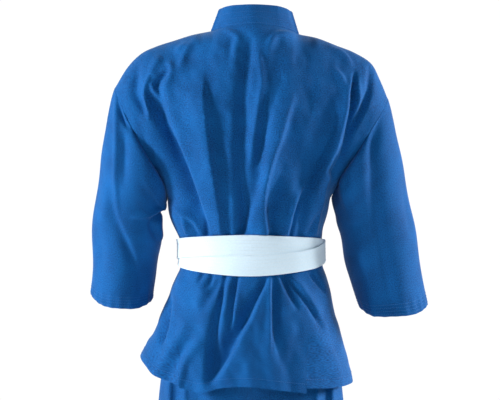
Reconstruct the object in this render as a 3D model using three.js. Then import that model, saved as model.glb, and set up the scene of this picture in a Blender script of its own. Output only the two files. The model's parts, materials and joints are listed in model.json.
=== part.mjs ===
import * as THREE from "three";

// A child's karate uniform, worn and hollow: a crossed jacket, a belt tied over it and loose trousers.
// Millimetres, +Z up, +X the wearer's left, the back towards +Y. The origin is at the base of the neck.
// Every piece is a thin wall of cloth: its outer face is worked out point by point, its inner face lies
// one wall further in, and rims close it all round.

// Driving dimensions
const WALL = 1.6; // body cloth
const BAND_WALL = 2.4; // folded bands: collar and lapels
const BELT_WALL = 2.4;
const BELT_WIDTH = 34;
const SEAM_GAP = 0.4; // between neighbouring pieces
const SEAM_DEGREES = 0.26; // the same gap, half on each side of a side seam
const RIDGE_GAP = 0.7; // half the outer gap at the shoulders, where the walls lean towards each other
const BODY_ROWS = 32; // rows of each body panel and of the bands on it, so that their facets lie parallel
const UNDERARM_Z = -277;
const WAIST_Z = -365;
const VENT_TOP_Z = -505; // the side seams are open below this
const VENT_SPREAD = 0.2; // degrees each side of the seam at the hem
const COLLAR_WIDTH = 38;
const NECK_SIDE = 0.3; // share of the way from the neck's centre to the armhole
const SLEEVE_LENGTH = 360; // from the armhole to the cuff
const CUFF_SAG = 12; // the cuff hangs lower at its front and back than at its sides
const ARMHOLE_OFF = { x: 1.2, z: -0.7 }; // a sleeve starts this far from the panels' ends
const BAND_ANGLE = 17; // width of a lapel band, in degrees round the body
const TROUSER_WAIST_Z = -394;
const WAISTBAND_HEIGHT = 34;
const CROTCH_Z = -655;
const CROTCH_RISE = 95; // height of the curve from the crotch to the centre seams' full depth
const LEG_BLEND = 100; // height over which the hips' section turns into two legs
const TROUSER_HEM_Z = -1112;

// How far the outer face of each crossed layer stands off the body's surface
const LAYER = { under: 0, underBand: 2.9, over: 5.8, overBand: 8.7 };

const BLUE = new THREE.MeshStandardMaterial({ color: 0x1f63ad, roughness: 0.75, metalness: 0 });
const WHITE = new THREE.MeshStandardMaterial({ color: 0xdfeef9, roughness: 0.8, metalness: 0 });

// Half-widths and depths of the jacket's body below the underarm
const TORSO = [
  { z: -620, left: 213, right: 178, back: 122, front: 116 },
  { z: -584, left: 203, right: 169, back: 121, front: 115 },
  { z: -543, left: 185.5, right: 159, back: 118, front: 112 },
  { z: -515, left: 171, right: 152, back: 115, front: 110 },
  { z: -485, left: 155, right: 144, back: 111, front: 107 },
  { z: -452, left: 141, right: 135, back: 105, front: 102 },
  { z: -424, left: 130, right: 129, back: 97, front: 97 },
  { z: -402, left: 121, right: 122, back: 88, front: 91 },
  { z: -385, left: 117, right: 118, back: 83, front: 88 },
  { z: -365, left: 116, right: 117, back: 81, front: 87 },
  { z: -344, left: 117.5, right: 117, back: 82.5, front: 88 },
  { z: -328, left: 126, right: 119.5, back: 87, front: 92 },
  { z: -305, left: 135, right: 125, back: 91, front: 95 },
  { z: -277, left: 137, right: 132, back: 94, front: 96 },
];

// The side seams, in degrees from the centre back: they swing towards the back in the skirt
const SIDE_SEAM = [
  { z: -620, left: 34, right: 30 },
  { z: -584, left: 34.5, right: 31 },
  { z: -545, left: 37, right: 33 },
  { z: -505, left: 43, right: 37 },
  { z: -470, left: 53, right: 46 },
  { z: -430, left: 67, right: 63 },
  { z: -390, left: 80, right: 80 },
  { z: -343, left: 88, right: 88 },
  { z: -277, left: 90, right: 90 },
];

// Where each front ends at its band's seam, in degrees from the centre back
const FRONT_EDGE = [
  { level: 0, angle: 206 },
  { level: 0.7, angle: 195 },
  { level: 1, angle: 187 },
  { level: 1.42, angle: 165 },
  { level: 1.75, angle: 154 },
  { level: 2, angle: 180 - 90 * NECK_SIDE },
];

// Hems, by the share of the way across each panel
const BACK_HEM = [
  { share: -1, z: -585 },
  { share: -0.6, z: -580 },
  { share: 0, z: -573 },
  { share: 0.4, z: -575 },
  { share: 0.68, z: -583 },
  { share: 1, z: -577 },
];
const FRONT_HEM = [
  { share: 0, left: -573, right: -577 },
  { share: 0.1, left: -565, right: -580 },
  { share: 0.15, left: -554, right: -580 },
  { share: 0.21, left: -546, right: -580 },
  { share: 0.27, left: -541, right: -580 },
  { share: 0.34, left: -539, right: -579 },
  { share: 0.46, left: -540, right: -578 },
  { share: 0.6, left: -556, right: -580 },
  { share: 0.8, left: -580, right: -588 },
  { share: 1, left: -590, right: -592 },
];

// The shoulder ridge and the neck seam, by the share of the way from the centre back to each armhole
const RIDGE = [
  { share: -1, x: -225, y: -5, z: -113 },
  { share: -0.88, x: -212, y: -5, z: -82 },
  { share: -0.78, x: -198, y: -5, z: -56 },
  { share: -0.66, x: -170, y: -4, z: -38 },
  { share: -0.52, x: -142, y: -3, z: -27 },
  { share: -0.4, x: -108, y: -2, z: -14 },
  { share: -0.3, x: -79, y: -1, z: -8 },
  { share: -0.22, x: -66, y: 21, z: -3 },
  { share: -0.15, x: -46, y: 38, z: 2 },
  { share: 0, x: -6, y: 52, z: 6 },
  { share: 0.15, x: 34, y: 39, z: 3 },
  { share: 0.22, x: 52, y: 22, z: 0 },
  { share: 0.3, x: 66, y: -1, z: -3 },
  { share: 0.42, x: 96, y: -2, z: -9 },
  { share: 0.54, x: 125, y: -3, z: -18 },
  { share: 0.67, x: 156, y: -4, z: -28 },
  { share: 0.78, x: 181, y: -5, z: -40 },
  { share: 0.88, x: 203, y: -5, z: -62 },
  { share: 1, x: 224, y: -5, z: -96 },
];

// Pull of the cloth up from the underarm row and down from the ridge, for the back and the front
const BACK_PULL = [
  { share: 0, upX: 0, upY: 6, upZ: 95, downX: 0, downY: 26, downZ: -50 },
  { share: 0.15, upX: 1, upY: 9, upZ: 93, downX: 0, downY: 30, downZ: -38 },
  { share: 0.3, upX: 2, upY: 14, upZ: 90, downX: 0, downY: 44, downZ: -18 },
  { share: 0.42, upX: 4, upY: 20, upZ: 88, downX: 0, downY: 56, downZ: -10 },
  { share: 0.65, upX: 10, upY: 34, upZ: 82, downX: -2, downY: 70, downZ: -8 },
  { share: 1, upX: 22, upY: 70, upZ: 58, downX: -2, downY: 66, downZ: -14 },
];
// The shoulder line as the back's strands see it. The sharp turn at the neck's corners stays near the seam.
const CALM_RIDGE = [
  { share: 0, y: 52 },
  { share: 0.2, y: 42 },
  { share: 0.4, y: 18 },
  { share: 0.6, y: 1 },
  { share: 0.8, y: -5 },
  { share: 1, y: -5 },
];
const CORNER_POWER = 9;
const FRONT_PULL = [
  { share: 0, upX: 0, upY: -2, upZ: 92, downX: 0, downY: -30, downZ: -60 },
  { share: 0.3, upX: 2, upY: -8, upZ: 88, downX: 0, downY: -58, downZ: -8 },
  { share: 0.65, upX: 10, upY: -30, upZ: 80, downX: -2, downY: -66, downZ: -8 },
  { share: 1, upX: 22, upY: -66, upZ: 58, downX: -2, downY: -62, downZ: -14 },
];
const NECK_FRONT = { y: -60, z: -30 }; // the open neck's front, which no cloth reaches

// Sleeves, from the armhole down: the outer and inner ends of each section and its half-depth
const SLEEVES = {
  left: [
    { share: 0, outX: 224, outZ: -96, inX: 137, inZ: -277, depth: 54, y: -5 },
    { share: 0.08, outX: 231, outZ: -122, inX: 141, inZ: -286, depth: 60, y: -4 },
    { share: 0.17, outX: 238, outZ: -155, inX: 149, inZ: -296, depth: 63, y: -4 },
    { share: 0.3, outX: 246, outZ: -198, inX: 149, inZ: -310, depth: 63, y: -5 },
    { share: 0.42, outX: 251, outZ: -236, inX: 147, inZ: -325, depth: 61, y: -7 },
    { share: 0.55, outX: 256, outZ: -280, inX: 148, inZ: -345, depth: 59, y: -10 },
    { share: 0.7, outX: 262, outZ: -335, inX: 155, inZ: -375, depth: 57, y: -13 },
    { share: 0.85, outX: 263, outZ: -392, inX: 158, inZ: -409, depth: 55, y: -17 },
    { share: 0.95, outX: 266, outZ: -426, inX: 161, inZ: -432, depth: 53, y: -20 },
    { share: 0.985, outX: 266.5, outZ: -437, inX: 161.5, inZ: -440, depth: 52, y: -21 },
    { share: 1, outX: 262, outZ: -442, inX: 164, inZ: -444, depth: 51, y: -21 },
  ],
  right: [
    { share: 0, outX: -225, outZ: -113, inX: -132, inZ: -277, depth: 54, y: -5 },
    { share: 0.08, outX: -232, outZ: -138, inX: -136, inZ: -291, depth: 60, y: -4 },
    { share: 0.17, outX: -239, outZ: -168, inX: -139, inZ: -303, depth: 63, y: -4 },
    { share: 0.3, outX: -249, outZ: -212, inX: -142, inZ: -318, depth: 63, y: -5 },
    { share: 0.42, outX: -257, outZ: -255, inX: -147, inZ: -336, depth: 61, y: -7 },
    { share: 0.55, outX: -265, outZ: -302, inX: -152, inZ: -360, depth: 59, y: -10 },
    { share: 0.7, outX: -274, outZ: -352, inX: -159, inZ: -392, depth: 57, y: -13 },
    { share: 0.85, outX: -284, outZ: -403, inX: -167, inZ: -421, depth: 55, y: -17 },
    { share: 0.95, outX: -291, outZ: -438, inX: -175, inZ: -448, depth: 53, y: -20 },
    { share: 0.985, outX: -293.5, outZ: -450, inX: -179, inZ: -459, depth: 52, y: -21 },
    { share: 1, outX: -294, outZ: -455, inX: -182, inZ: -462, depth: 51, y: -21 },
  ],
};

// The belt's two turns, by degrees from the knot: its mid height and how far it stands off the jacket
const BELT_TURNS = [
  { turn: 0, z: -368, off: 6.2 },
  { turn: 60, z: -365, off: 6.2 },
  { turn: 90, z: -361, off: 6.2 },
  { turn: 130, z: -353, off: 6.1 },
  { turn: 180, z: -348.6, off: 4.8 },
  { turn: 230, z: -355, off: 3.6 },
  { turn: 270, z: -362, off: 3.5 },
  { turn: 360, z: -368, off: 3.5 },
  { turn: 430, z: -369, off: 3.5 },
  { turn: 450, z: -370, off: 3.5 },
  { turn: 490, z: -376, off: 3.6 },
  { turn: 540, z: -383, off: 4.8 },
  { turn: 590, z: -374.5, off: 6.1 },
  { turn: 630, z: -363.5, off: 6.2 },
  { turn: 670, z: -366, off: 6.2 },
  { turn: 720, z: -368, off: 6.2 },
];
const BELT_CUT = 7; // degrees left free at the knot
const BELT_FRONT_OFF = 9.5; // extra stand-off at the front, where the crossed fronts lie under it
const BELT_SPREAD = { sides: 26, back: 38, fade: 16 }; // half the height kept smooth under the belt

// Folds of the back: the two ends of each, its sideways bow, its half-width and its height, which is
// below 0 for a trough
const BACK_FOLDS = [
  { x0: 8, z0: -30, x1: 10, z1: -315, bow: 0, width: 17, height: -9 },
  { x0: 86, z0: -110, x1: 50, z1: -322, bow: 4, width: 20, height: 10 },
  { x0: 142, z0: -130, x1: 76, z1: -318, bow: -8, width: 19, height: -14 },
  { x0: -58, z0: -130, x1: -22, z1: -318, bow: 4, width: 15, height: 9 },
  { x0: -128, z0: -140, x1: -78, z1: -318, bow: 8, width: 19, height: -11 },
  { x0: -158, z0: -110, x1: -102, z1: -326, bow: -10, width: 15, height: 7 },
  { x0: 132, z0: -60, x1: 134, z1: -140, bow: 8, width: 13, height: 7 },
  { x0: 150, z0: -72, x1: 150, z1: -160, bow: -8, width: 12, height: -9 },
  { x0: -166, z0: -80, x1: -148, z1: -200, bow: 4, width: 12, height: -9 },
  { x0: -186, z0: -90, x1: -180, z1: -150, bow: 0, width: 12, height: 6 },
  { x0: 42, z0: -402, x1: 58, z1: -578, bow: 6, width: 12, height: -9 },
  { x0: -10, z0: -400, x1: 38, z1: -600, bow: 10, width: 19, height: -16 },
  { x0: -34, z0: -400, x1: -34, z1: -510, bow: 0, width: 10, height: -7 },
  { x0: -54, z0: -404, x1: -96, z1: -500, bow: 0, width: 15, height: -6 },
  { x0: 80, z0: -402, x1: 88, z1: -590, bow: -4, width: 14, height: 6 },
  { x0: -64, z0: -450, x1: -72, z1: -600, bow: 0, width: 18, height: 6 },
];

// Folds of the left front, in the same columns; the right front mirrors them
const FRONT_FOLDS = [
  { x0: 120, z0: -110, x1: 62, z1: -320, bow: -6, width: 13, height: 9 },
  { x0: 96, z0: -150, x1: 40, z1: -320, bow: 0, width: 12, height: -9 },
  { x0: 70, z0: -405, x1: 100, z1: -585, bow: 0, width: 15, height: -10 },
  { x0: 40, z0: -405, x1: 48, z1: -590, bow: 0, width: 16, height: 8 },
];

// Folds of the sleeves: shares along and degrees round (0 outside, 90 back) of both ends. A degree is
// about a millimetre.
const SLEEVE_FOLDS = [
  { s0: 0.02, a0: 62, s1: 0.24, a1: 118, width: 13, height: -7 },
  { s0: 0.06, a0: 30, s1: 0.2, a1: 92, width: 12, height: 6 },
  { s0: 0.1, a0: 8, s1: 0.42, a1: 40, width: 16, height: 5 },
  { s0: 0.5, a0: 150, s1: 0.62, a1: 96, width: 16, height: -5 },
  { s0: 0.02, a0: -60, s1: 0.24, a1: -118, width: 13, height: -7 },
  { s0: 0.6, a0: -150, s1: 0.7, a1: -96, width: 16, height: -5 },
];

// The trousers' sections: outer and inner half-widths of a leg's side seams, and half-depths
const TROUSERS = [
  { z: -1115, out: 152, in: 30, back: 58, front: 56 },
  { z: -1000, out: 154, in: 24, back: 64, front: 62 },
  { z: -850, out: 155, in: 14, back: 72, front: 70 },
  { z: -740, out: 155, in: 6, back: 80, front: 78 },
  { z: -655, out: 155, in: 0.4, back: 88, front: 84 },
  { z: -600, out: 152, in: 0.4, back: 92, front: 88 },
  { z: -540, out: 143, in: 0.4, back: 92, front: 90 },
  { z: -480, out: 126, in: 0.4, back: 86, front: 86 },
  { z: -430, out: 115, in: 0.4, back: 80, front: 82 },
  { z: -390, out: 109.3, in: 0.4, back: 77, front: 80 },
];
const TROUSER_FOLDS = [
  { degrees: 22, width: 9, height: 5 },
  { degrees: 44, width: 11, height: -5 },
  { degrees: 66, width: 10, height: 4 },
  { degrees: 120, width: 14, height: -5 },
];

const { clamp, lerp, smoothstep, degToRad } = THREE.MathUtils;
const vector = (x, y, z) => new THREE.Vector3(x, y, z);

// Reads a table of rows between two of its rows, along a smooth curve. Its key column rises.
function readTable(rows, key, value) {
  let i = 0;
  while (i < rows.length - 2 && rows[i + 1][key] < value) i++;
  const step = rows[i + 1][key] - rows[i][key];
  const t = clamp((value - rows[i][key]) / step, 0, 1);
  const slope = (j, column) => {
    const before = rows[Math.max(j - 1, 0)];
    const after = rows[Math.min(j + 1, rows.length - 1)];
    return ((after[column] - before[column]) / (after[key] - before[key])) * step;
  };
  const read = {};
  for (const column of Object.keys(rows[i])) {
    const rise = slope(i, column) * (t ** 3 - 2 * t ** 2 + t) + slope(i + 1, column) * (t ** 3 - t ** 2);
    const blend = 3 * t ** 2 - 2 * t ** 3;
    read[column] = lerp(rows[i][column], rows[i + 1][column], blend) + rise;
  }
  return read;
}

function bezier(a, b, c, d, t) {
  const s = 1 - t;
  return vector(0, 0, 0)
    .addScaledVector(a, s ** 3)
    .addScaledVector(b, 3 * s * s * t)
    .addScaledVector(c, 3 * s * t * t)
    .addScaledVector(d, t ** 3);
}

// The outward normal of a surface at (u, v), where u turns from the centre back to the wearer's left
function normalAt(surface, u, v, stepU, stepV) {
  const across = surface(u + stepU, v).sub(surface(u - stepU, v));
  const up = surface(u, v + stepV).sub(surface(u, v - stepV));
  return up.cross(across).normalize();
}

// Height of one fold at a distance from its line, as a bell
function foldProfile(distance, fold) {
  return fold.height * Math.exp(-((distance / fold.width) ** 2));
}

// Height of the folds of a table at (x, z). Each fades in and out at its ends.
function foldsAt(folds, x, z) {
  let height = 0;
  for (const fold of folds) {
    const length = Math.hypot(fold.x1 - fold.x0, fold.z1 - fold.z0);
    const [dx, dz] = [(fold.x1 - fold.x0) / length, (fold.z1 - fold.z0) / length];
    const t = ((x - fold.x0) * dx + (z - fold.z0) * dz) / length;
    const bow = fold.bow * 4 * t * (1 - t);
    const distance = (x - fold.x0) * -dz + (z - fold.z0) * dx - bow;
    const fade = smoothstep(t, -0.08, 0.22) * (1 - smoothstep(t, 0.8, 1.08));
    height += foldProfile(distance, fold) * fade;
  }
  return height;
}

// The jacket's body as one smooth surface: degrees from the centre back towards the wearer's left, and
// a level that is 0 at the hem, 1 at the underarm and 2 at the shoulder ridge
function ringPoint(degrees, z) {
  const ring = readTable(TORSO, "z", z);
  const turn = degToRad(degrees);
  const square = 1 + 0.035 * Math.sin(2 * turn) ** 2;
  const width = Math.sin(turn) > 0 ? ring.left : ring.right;
  const depth = Math.cos(turn) > 0 ? ring.back : ring.front;
  return vector(width * Math.sin(turn) * square, depth * Math.cos(turn) * square, z);
}

function shoulderPoint(degrees, rise) {
  const turn = ((degrees % 360) + 360) % 360;
  const front = turn > 90 && turn < 270;
  const share = front ? (180 - turn) / 90 : (turn > 180 ? turn - 360 : turn) / 90;
  const side = Math.sign(share) || 1;
  const pull = readTable(front ? FRONT_PULL : BACK_PULL, "share", Math.abs(share));
  const bottom = ringPoint(degrees, UNDERARM_Z);
  const top = readTable(RIDGE, "share", share);
  if (front && Math.abs(share) < NECK_SIDE) {
    const open = 1 - (share / NECK_SIDE) ** 2;
    top.y = lerp(top.y - 2 * Math.max(top.y, 0), NECK_FRONT.y, open);
    top.z = lerp(top.z, NECK_FRONT.z, open);
  }
  const calmY = front ? top.y : readTable(CALM_RIDGE, "share", Math.abs(share)).y;
  const ridge = vector(top.x, calmY, top.z);
  const up = bottom.clone().add(vector(pull.upX * side, pull.upY, pull.upZ));
  const down = ridge.clone().add(vector(pull.downX * side, pull.downY, pull.downZ));
  const point = bezier(bottom, up, down, ridge, rise);
  point.y += (top.y - calmY) * rise ** CORNER_POWER;
  return point;
}

// hemZ is the height of the hem straight below the point
function bodyPoint(degrees, level, hemZ) {
  if (level > 1) return shoulderPoint(degrees, level - 1);
  return ringPoint(degrees, lerp(hemZ, UNDERARM_Z, level));
}

// How near a level is to the shoulder ridge, where folds end and the walls of both panels draw apart
const nearRidge = (level) => smoothstep(level, 1.85, 1.99);

function onBody(degrees, level, hemZ, off) {
  const surface = (u, v) => bodyPoint(u, v, hemZ);
  const normal = normalAt(surface, degrees, level, 0.5, 0.004);
  return bodyPoint(degrees, level, hemZ).addScaledVector(normal, off);
}

// Every fold fades out under the belt, whose two turns spread apart at the back
function besideBelt(degrees, z) {
  const atBack = smoothstep(Math.cos(degToRad(degrees)), 0, 0.8);
  const half = lerp(BELT_SPREAD.sides, BELT_SPREAD.back, atBack);
  return smoothstep(Math.abs(z - WAIST_Z), half, half + BELT_SPREAD.fade);
}

// A closed wall from its outer face: pointAt(u, v) for u and v from 0 to 1, u turning to the wearer's left
function clothWall(name, columns, rows, pointAt, options = {}) {
  const { wall = WALL, tube = false, material = BLUE } = options;
  const across = tube ? columns : columns + 1;
  const positions = [];
  const step = 0.002;
  for (let j = 0; j <= rows; j++)
    for (let i = 0; i < across; i++) {
      const [u, v] = [i / columns, j / rows];
      const low = pointAt(tube ? u : Math.max(u - step, 0), v);
      const high = pointAt(tube ? u + 2 * step : Math.min(u + step, 1), v);
      const below = pointAt(u, Math.max(v - step, 0));
      const above = pointAt(u, Math.min(v + step, 1));
      const inward = high.sub(low).cross(above.sub(below)).normalize();
      const outer = pointAt(u, v);
      positions.push(outer, outer.clone().addScaledVector(inward, wall));
    }
  const at = (i, j, inner) => 2 * (j * across + (i % across)) + inner;
  const index = [];
  const quad = (a, b, c, d) => index.push(a, b, c, a, c, d);
  for (let j = 0; j < rows; j++)
    for (let i = 0; i < columns; i++) {
      quad(at(i, j, 0), at(i, j + 1, 0), at(i + 1, j + 1, 0), at(i + 1, j, 0));
      quad(at(i, j, 1), at(i + 1, j, 1), at(i + 1, j + 1, 1), at(i, j + 1, 1));
    }
  for (let i = 0; i < columns; i++) {
    quad(at(i, 0, 0), at(i + 1, 0, 0), at(i + 1, 0, 1), at(i, 0, 1));
    quad(at(i, rows, 0), at(i, rows, 1), at(i + 1, rows, 1), at(i + 1, rows, 0));
  }
  for (let j = 0; j < rows && !tube; j++) {
    quad(at(0, j, 0), at(0, j, 1), at(0, j + 1, 1), at(0, j + 1, 0));
    quad(at(columns, j, 0), at(columns, j + 1, 0), at(columns, j + 1, 1), at(columns, j, 1));
  }
  const geometry = new THREE.BufferGeometry();
  const coordinates = positions.flatMap((point) => point.toArray());
  geometry.setAttribute("position", new THREE.Float32BufferAttribute(coordinates, 3));
  geometry.setIndex(index);
  geometry.computeVertexNormals();
  const mesh = new THREE.Mesh(geometry, material);
  mesh.name = name;
  return mesh;
}

// Side seam of one side at a level, opened below the vent's top; outwards is +1 on the fronts
function seamAngle(side, level, hemZ, outwards) {
  if (level > 1) return 90;
  const z = lerp(hemZ, UNDERARM_Z, level);
  const open = 1 - smoothstep(z, VENT_TOP_Z - 20, VENT_TOP_Z);
  return readTable(SIDE_SEAM, "z", z)[side] + outwards * open * VENT_SPREAD;
}

// The back, from the right side seam to the left one
function backPoint(u, v) {
  const share = clamp(2 * u - 1, -1, 1);
  const level = 2 * v;
  const hemZ = readTable(BACK_HEM, "share", share).z;
  const side = share > 0 ? "left" : "right";
  const degrees = share * (seamAngle(side, level, hemZ, -1) - SEAM_DEGREES);
  const base = bodyPoint(degrees, level, hemZ);
  const edge = 1 - smoothstep(Math.abs(share), 0.82, 0.96);
  const folds = foldsAt(BACK_FOLDS, base.x, base.z) * besideBelt(degrees, base.z) * edge;
  const point = onBody(degrees, level, hemZ, folds * (1 - nearRidge(level)));
  point.y += RIDGE_GAP * nearRidge(level);
  return point;
}

// A front, from its side seam (share 0) to its band's seam (share 1). side is "left" or "right".
// The left front rises onto the right one over CROSSED degrees, just before the right one's band.
const CROSSED = { clear: 11, rise: 16 };
function frontOff(side, degrees, level) {
  if (side === "right") return LAYER.under;
  const bandEnd = 360 - readTable(FRONT_EDGE, "level", level).angle - BAND_ANGLE;
  const crossed = smoothstep(degrees, bandEnd - CROSSED.clear - CROSSED.rise, bandEnd - CROSSED.clear);
  return lerp(LAYER.under, LAYER.over, crossed * (1 - smoothstep(level, 1.5, 1.85)));
}

function frontSurface(side, degrees, level, hemZ, extra) {
  const hand = side === "left" ? 1 : -1;
  const base = bodyPoint(degrees * hand, level, hemZ);
  const flat = 1 - smoothstep(degrees, 118, 135);
  const fade = flat * smoothstep(degrees, 90, 100) * (1 - nearRidge(level));
  const folds = foldsAt(FRONT_FOLDS, base.x * hand, base.z) * besideBelt(degrees, base.z) * fade;
  const point = onBody(degrees * hand, level, hemZ, frontOff(side, degrees, level) + folds + extra);
  point.y -= RIDGE_GAP * nearRidge(level);
  return point;
}

function frontPoint(side, share, level) {
  const hemZ = readTable(FRONT_HEM, "share", share)[side];
  const from = seamAngle(side, level, hemZ, 1) + SEAM_DEGREES;
  const to = readTable(FRONT_EDGE, "level", level).angle;
  return frontSurface(side, lerp(from, to, share), level, hemZ, 0);
}

// The collar stands on the neck seam and leans in; share is -1 at the right shoulder, 1 at the left
const COLLAR_LEAN = [
  { share: -1, x: 11, y: -2, z: 36 },
  { share: 0, x: 0, y: -19, z: 33 },
  { share: 1, x: -13, y: -2, z: 35 },
];
function collarRise(share) {
  const lean = readTable(COLLAR_LEAN, "share", share);
  return vector(lean.x, lean.y, lean.z).setLength(COLLAR_WIDTH);
}
function collarPoint(share, height) {
  const seam = readTable(RIDGE, "share", share * NECK_SIDE);
  return vector(seam.x, seam.y + RIDGE_GAP, seam.z + SEAM_GAP).addScaledVector(collarRise(share), height);
}

// A lapel band leaves the collar upright at the shoulder and turns to lie on its front down to the hem
function lapelPoint(side, along, width) {
  const level = 2 * (1 - along);
  const off = side === "left" ? LAYER.overBand - LAYER.over : LAYER.underBand;
  const hemZ = FRONT_HEM.at(-1)[side];
  const seam = readTable(FRONT_EDGE, "level", level).angle;
  const edge = seam + lerp(0.6, -1, smoothstep(along, 0.45, 0.6));
  const flat = frontSurface(side, edge + width * BAND_ANGLE, level, hemZ, off);
  const root = frontSurface(side, edge, level, hemZ, off);
  const upright = 1 - smoothstep(along, 0, 0.2);
  const rise = collarRise(side === "left" ? 1 : -1).multiplyScalar(width);
  return flat.lerp(root.add(rise), upright);
}

// A sleeve: share along it, degrees round it from the outside (0) over the back (90) to the inside
function armholePoint(side, degrees) {
  const turn = ((degrees + 180) % 360) - 180;
  const hand = side === "left" ? 1 : -1;
  const rise = 1 - Math.abs(turn) / 180;
  return shoulderPoint(hand * (turn >= 0 ? 89.9 : 90.1), rise);
}

function sleevePoint(side, share, degrees) {
  const hand = side === "left" ? 1 : -1;
  const row = readTable(SLEEVES[side], "share", share);
  const turn = degToRad(degrees);
  const out = vector(row.outX, row.y, row.outZ);
  const inside = vector(row.inX, row.y, row.inZ);
  const centre = out.clone().lerp(inside, 0.5);
  const point = centre.addScaledVector(out.sub(inside), Math.cos(turn) / 2);
  point.y += row.depth * Math.sin(turn);
  point.z -= CUFF_SAG * smoothstep(share, 0.7, 1) * Math.sin(turn) ** 2;
  const seam = armholePoint(side, degrees).add(vector(hand * ARMHOLE_OFF.x, 0, ARMHOLE_OFF.z));
  return seam.lerp(point, smoothstep(share, 0, 0.14));
}

function sleeveFolds(share, degrees) {
  let height = 0;
  for (const fold of SLEEVE_FOLDS) {
    const [length, turn] = [(fold.s1 - fold.s0) * SLEEVE_LENGTH, fold.a1 - fold.a0];
    const [along, round] = [(share - fold.s0) * SLEEVE_LENGTH, degrees - fold.a0];
    const t = clamp((along * length + round * turn) / (length ** 2 + turn ** 2), 0, 1);
    const fade = Math.sin(Math.PI * clamp(t, 0.06, 0.94));
    height += foldProfile(Math.hypot(along - t * length, round - t * turn), fold) * fade;
  }
  return height;
}

function sleeveWall(side) {
  const hand = side === "left" ? 1 : -1;
  const pointAt = (u, v) => {
    const share = 1 - v;
    const degrees = -hand * (360 * u - 180);
    const wrapped = ((((degrees + 180) % 360) + 360) % 360) - 180;
    const surface = (a, b) => sleevePoint(side, b, a);
    const normal = normalAt(surface, wrapped, clamp(share, 0.01, 0.99), 0.5, 0.004);
    const folds = sleeveFolds(share, wrapped) * smoothstep(share, 0.02, 0.1);
    return sleevePoint(side, share, wrapped).addScaledVector(normal, folds * hand);
  };
  return clothWall("sleeve_" + side, BODY_ROWS, 13, pointAt, { tube: true });
}

// The belt: one strip that runs twice round the waist, from the knot by the left to the knot again
function beltPoint(turn, width) {
  const row = readTable(BELT_TURNS, "turn", turn);
  const degrees = 180 - turn;
  const fromFront = Math.abs(((turn + 180) % 360) - 180);
  const crossed = 1 - smoothstep(fromFront, 56, 86);
  const z = row.z + (width - 0.5) * BELT_WIDTH;
  const normal = normalAt(ringPoint, degrees, z, 0.5, 1);
  return ringPoint(degrees, z).addScaledVector(normal, row.off + crossed * BELT_FRONT_OFF);
}

// The knot and the two ends that hang from it, on the front of the belt
const KNOT = { x: -8, z: -368, width: 46, height: 40, depth: 20, wall: 4, strands: 0.06, sunk: 1 };
const BELT_ENDS = [
  { name: "belt_end_left", lean: 20, length: 235, start: 8, off: 3.6 },
  { name: "belt_end_right", lean: -16, length: 228, start: -8, off: 6.6 },
];
const END_HANG = { out: 16, bow: 5 }; // how far an end hangs off the belt's face, and its bow

function knotWall(y) {
  const pointAt = (u, v) => {
    const turn = 2 * Math.PI * u;
    const bulge = Math.sqrt(Math.sin(Math.PI * clamp(v, 0.12, 0.88)));
    const reach = bulge * (1 + KNOT.strands * Math.cos(3 * turn));
    const outwards = (KNOT.depth / 2) * reach * Math.cos(turn);
    const upwards = (KNOT.height / 2) * reach * Math.sin(turn);
    return vector(KNOT.x + (v - 0.5) * KNOT.width, y - outwards, KNOT.z + upwards);
  };
  return clothWall("belt_knot", 14, 6, pointAt, { tube: true, wall: KNOT.wall, material: WHITE });
}

function endWall(end, y) {
  const lean = degToRad(end.lean);
  const top = vector(KNOT.x + end.start, y - end.off, KNOT.z - KNOT.height / 2 - 1);
  const pointAt = (u, v) => {
    const length = (1 - v) * end.length;
    const aside = (0.5 - u) * BELT_WIDTH;
    const x = Math.sin(lean) * length + Math.cos(lean) * aside;
    const z = Math.sin(lean) * aside - Math.cos(lean) * length;
    const sway = END_HANG.out * smoothstep(1 - v, 0, 0.8) + END_HANG.bow * Math.sin(Math.PI * v);
    return vector(x, -sway, z).add(top);
  };
  return clothWall(end.name, 2, 10, pointAt, { wall: BELT_WALL, material: WHITE });
}

function trouserFolds(degrees) {
  let height = 0;
  for (const fold of TROUSER_FOLDS) height += foldProfile(degrees - fold.degrees, fold);
  return height;
}

// One trouser panel: u from the outer side seam to the centre or inner seam, v from the hem to the waist
function trouserPoint(facing, hand, u, v) {
  const z = lerp(TROUSER_HEM_Z, TROUSER_WAIST_Z - WAISTBAND_HEIGHT * 0.5, v);
  const row = readTable(TROUSERS, "z", z);
  const depth = facing > 0 ? row.back : row.front;
  const leg = 1 - smoothstep(z, CROTCH_Z, CROTCH_Z + LEG_BLEND);
  const rise = clamp((z - CROTCH_Z) / CROTCH_RISE, 0, 1);
  const centreDepth = depth * Math.sqrt(1 - (1 - rise) ** 2);
  const outer = vector(row.out, 0, z);
  const inner = vector(row.in, centreDepth, z);
  const first = vector(row.out, depth * lerp(0.6, 1.3, leg), z);
  const second = vector(lerp(row.out / 2, row.in, leg), depth * lerp(1, 1.3, leg), z);
  const point = bezier(outer, first, second, inner, u);
  const free = (1 - smoothstep(z, -560, -480)) * smoothstep(u, 0, 0.1) * (1 - smoothstep(u, 0.86, 1));
  point.y += trouserFolds(180 * u) * free;
  return vector(point.x * hand, (point.y + SEAM_GAP / 2) * facing, z);
}

function trouserWall(name, facing, hand) {
  const mirrored = facing * hand > 0;
  const pointAt = (u, v) => trouserPoint(facing, hand, mirrored ? 1 - u : u, v);
  return clothWall(name, 9, 14, pointAt);
}

function waistbandPoint(u, v) {
  const turn = 360 * u - 180;
  const z = TROUSER_WAIST_Z - WAISTBAND_HEIGHT / 2 + WAISTBAND_HEIGHT * v;
  const row = readTable(TROUSERS, "z", TROUSER_WAIST_Z - WAISTBAND_HEIGHT / 2);
  const angle = degToRad(turn);
  const depth = Math.cos(angle) > 0 ? row.back : row.front;
  const ease = WALL + SEAM_GAP;
  return vector((row.out + ease) * Math.sin(angle), (depth + ease) * Math.cos(angle), z);
}

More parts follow.
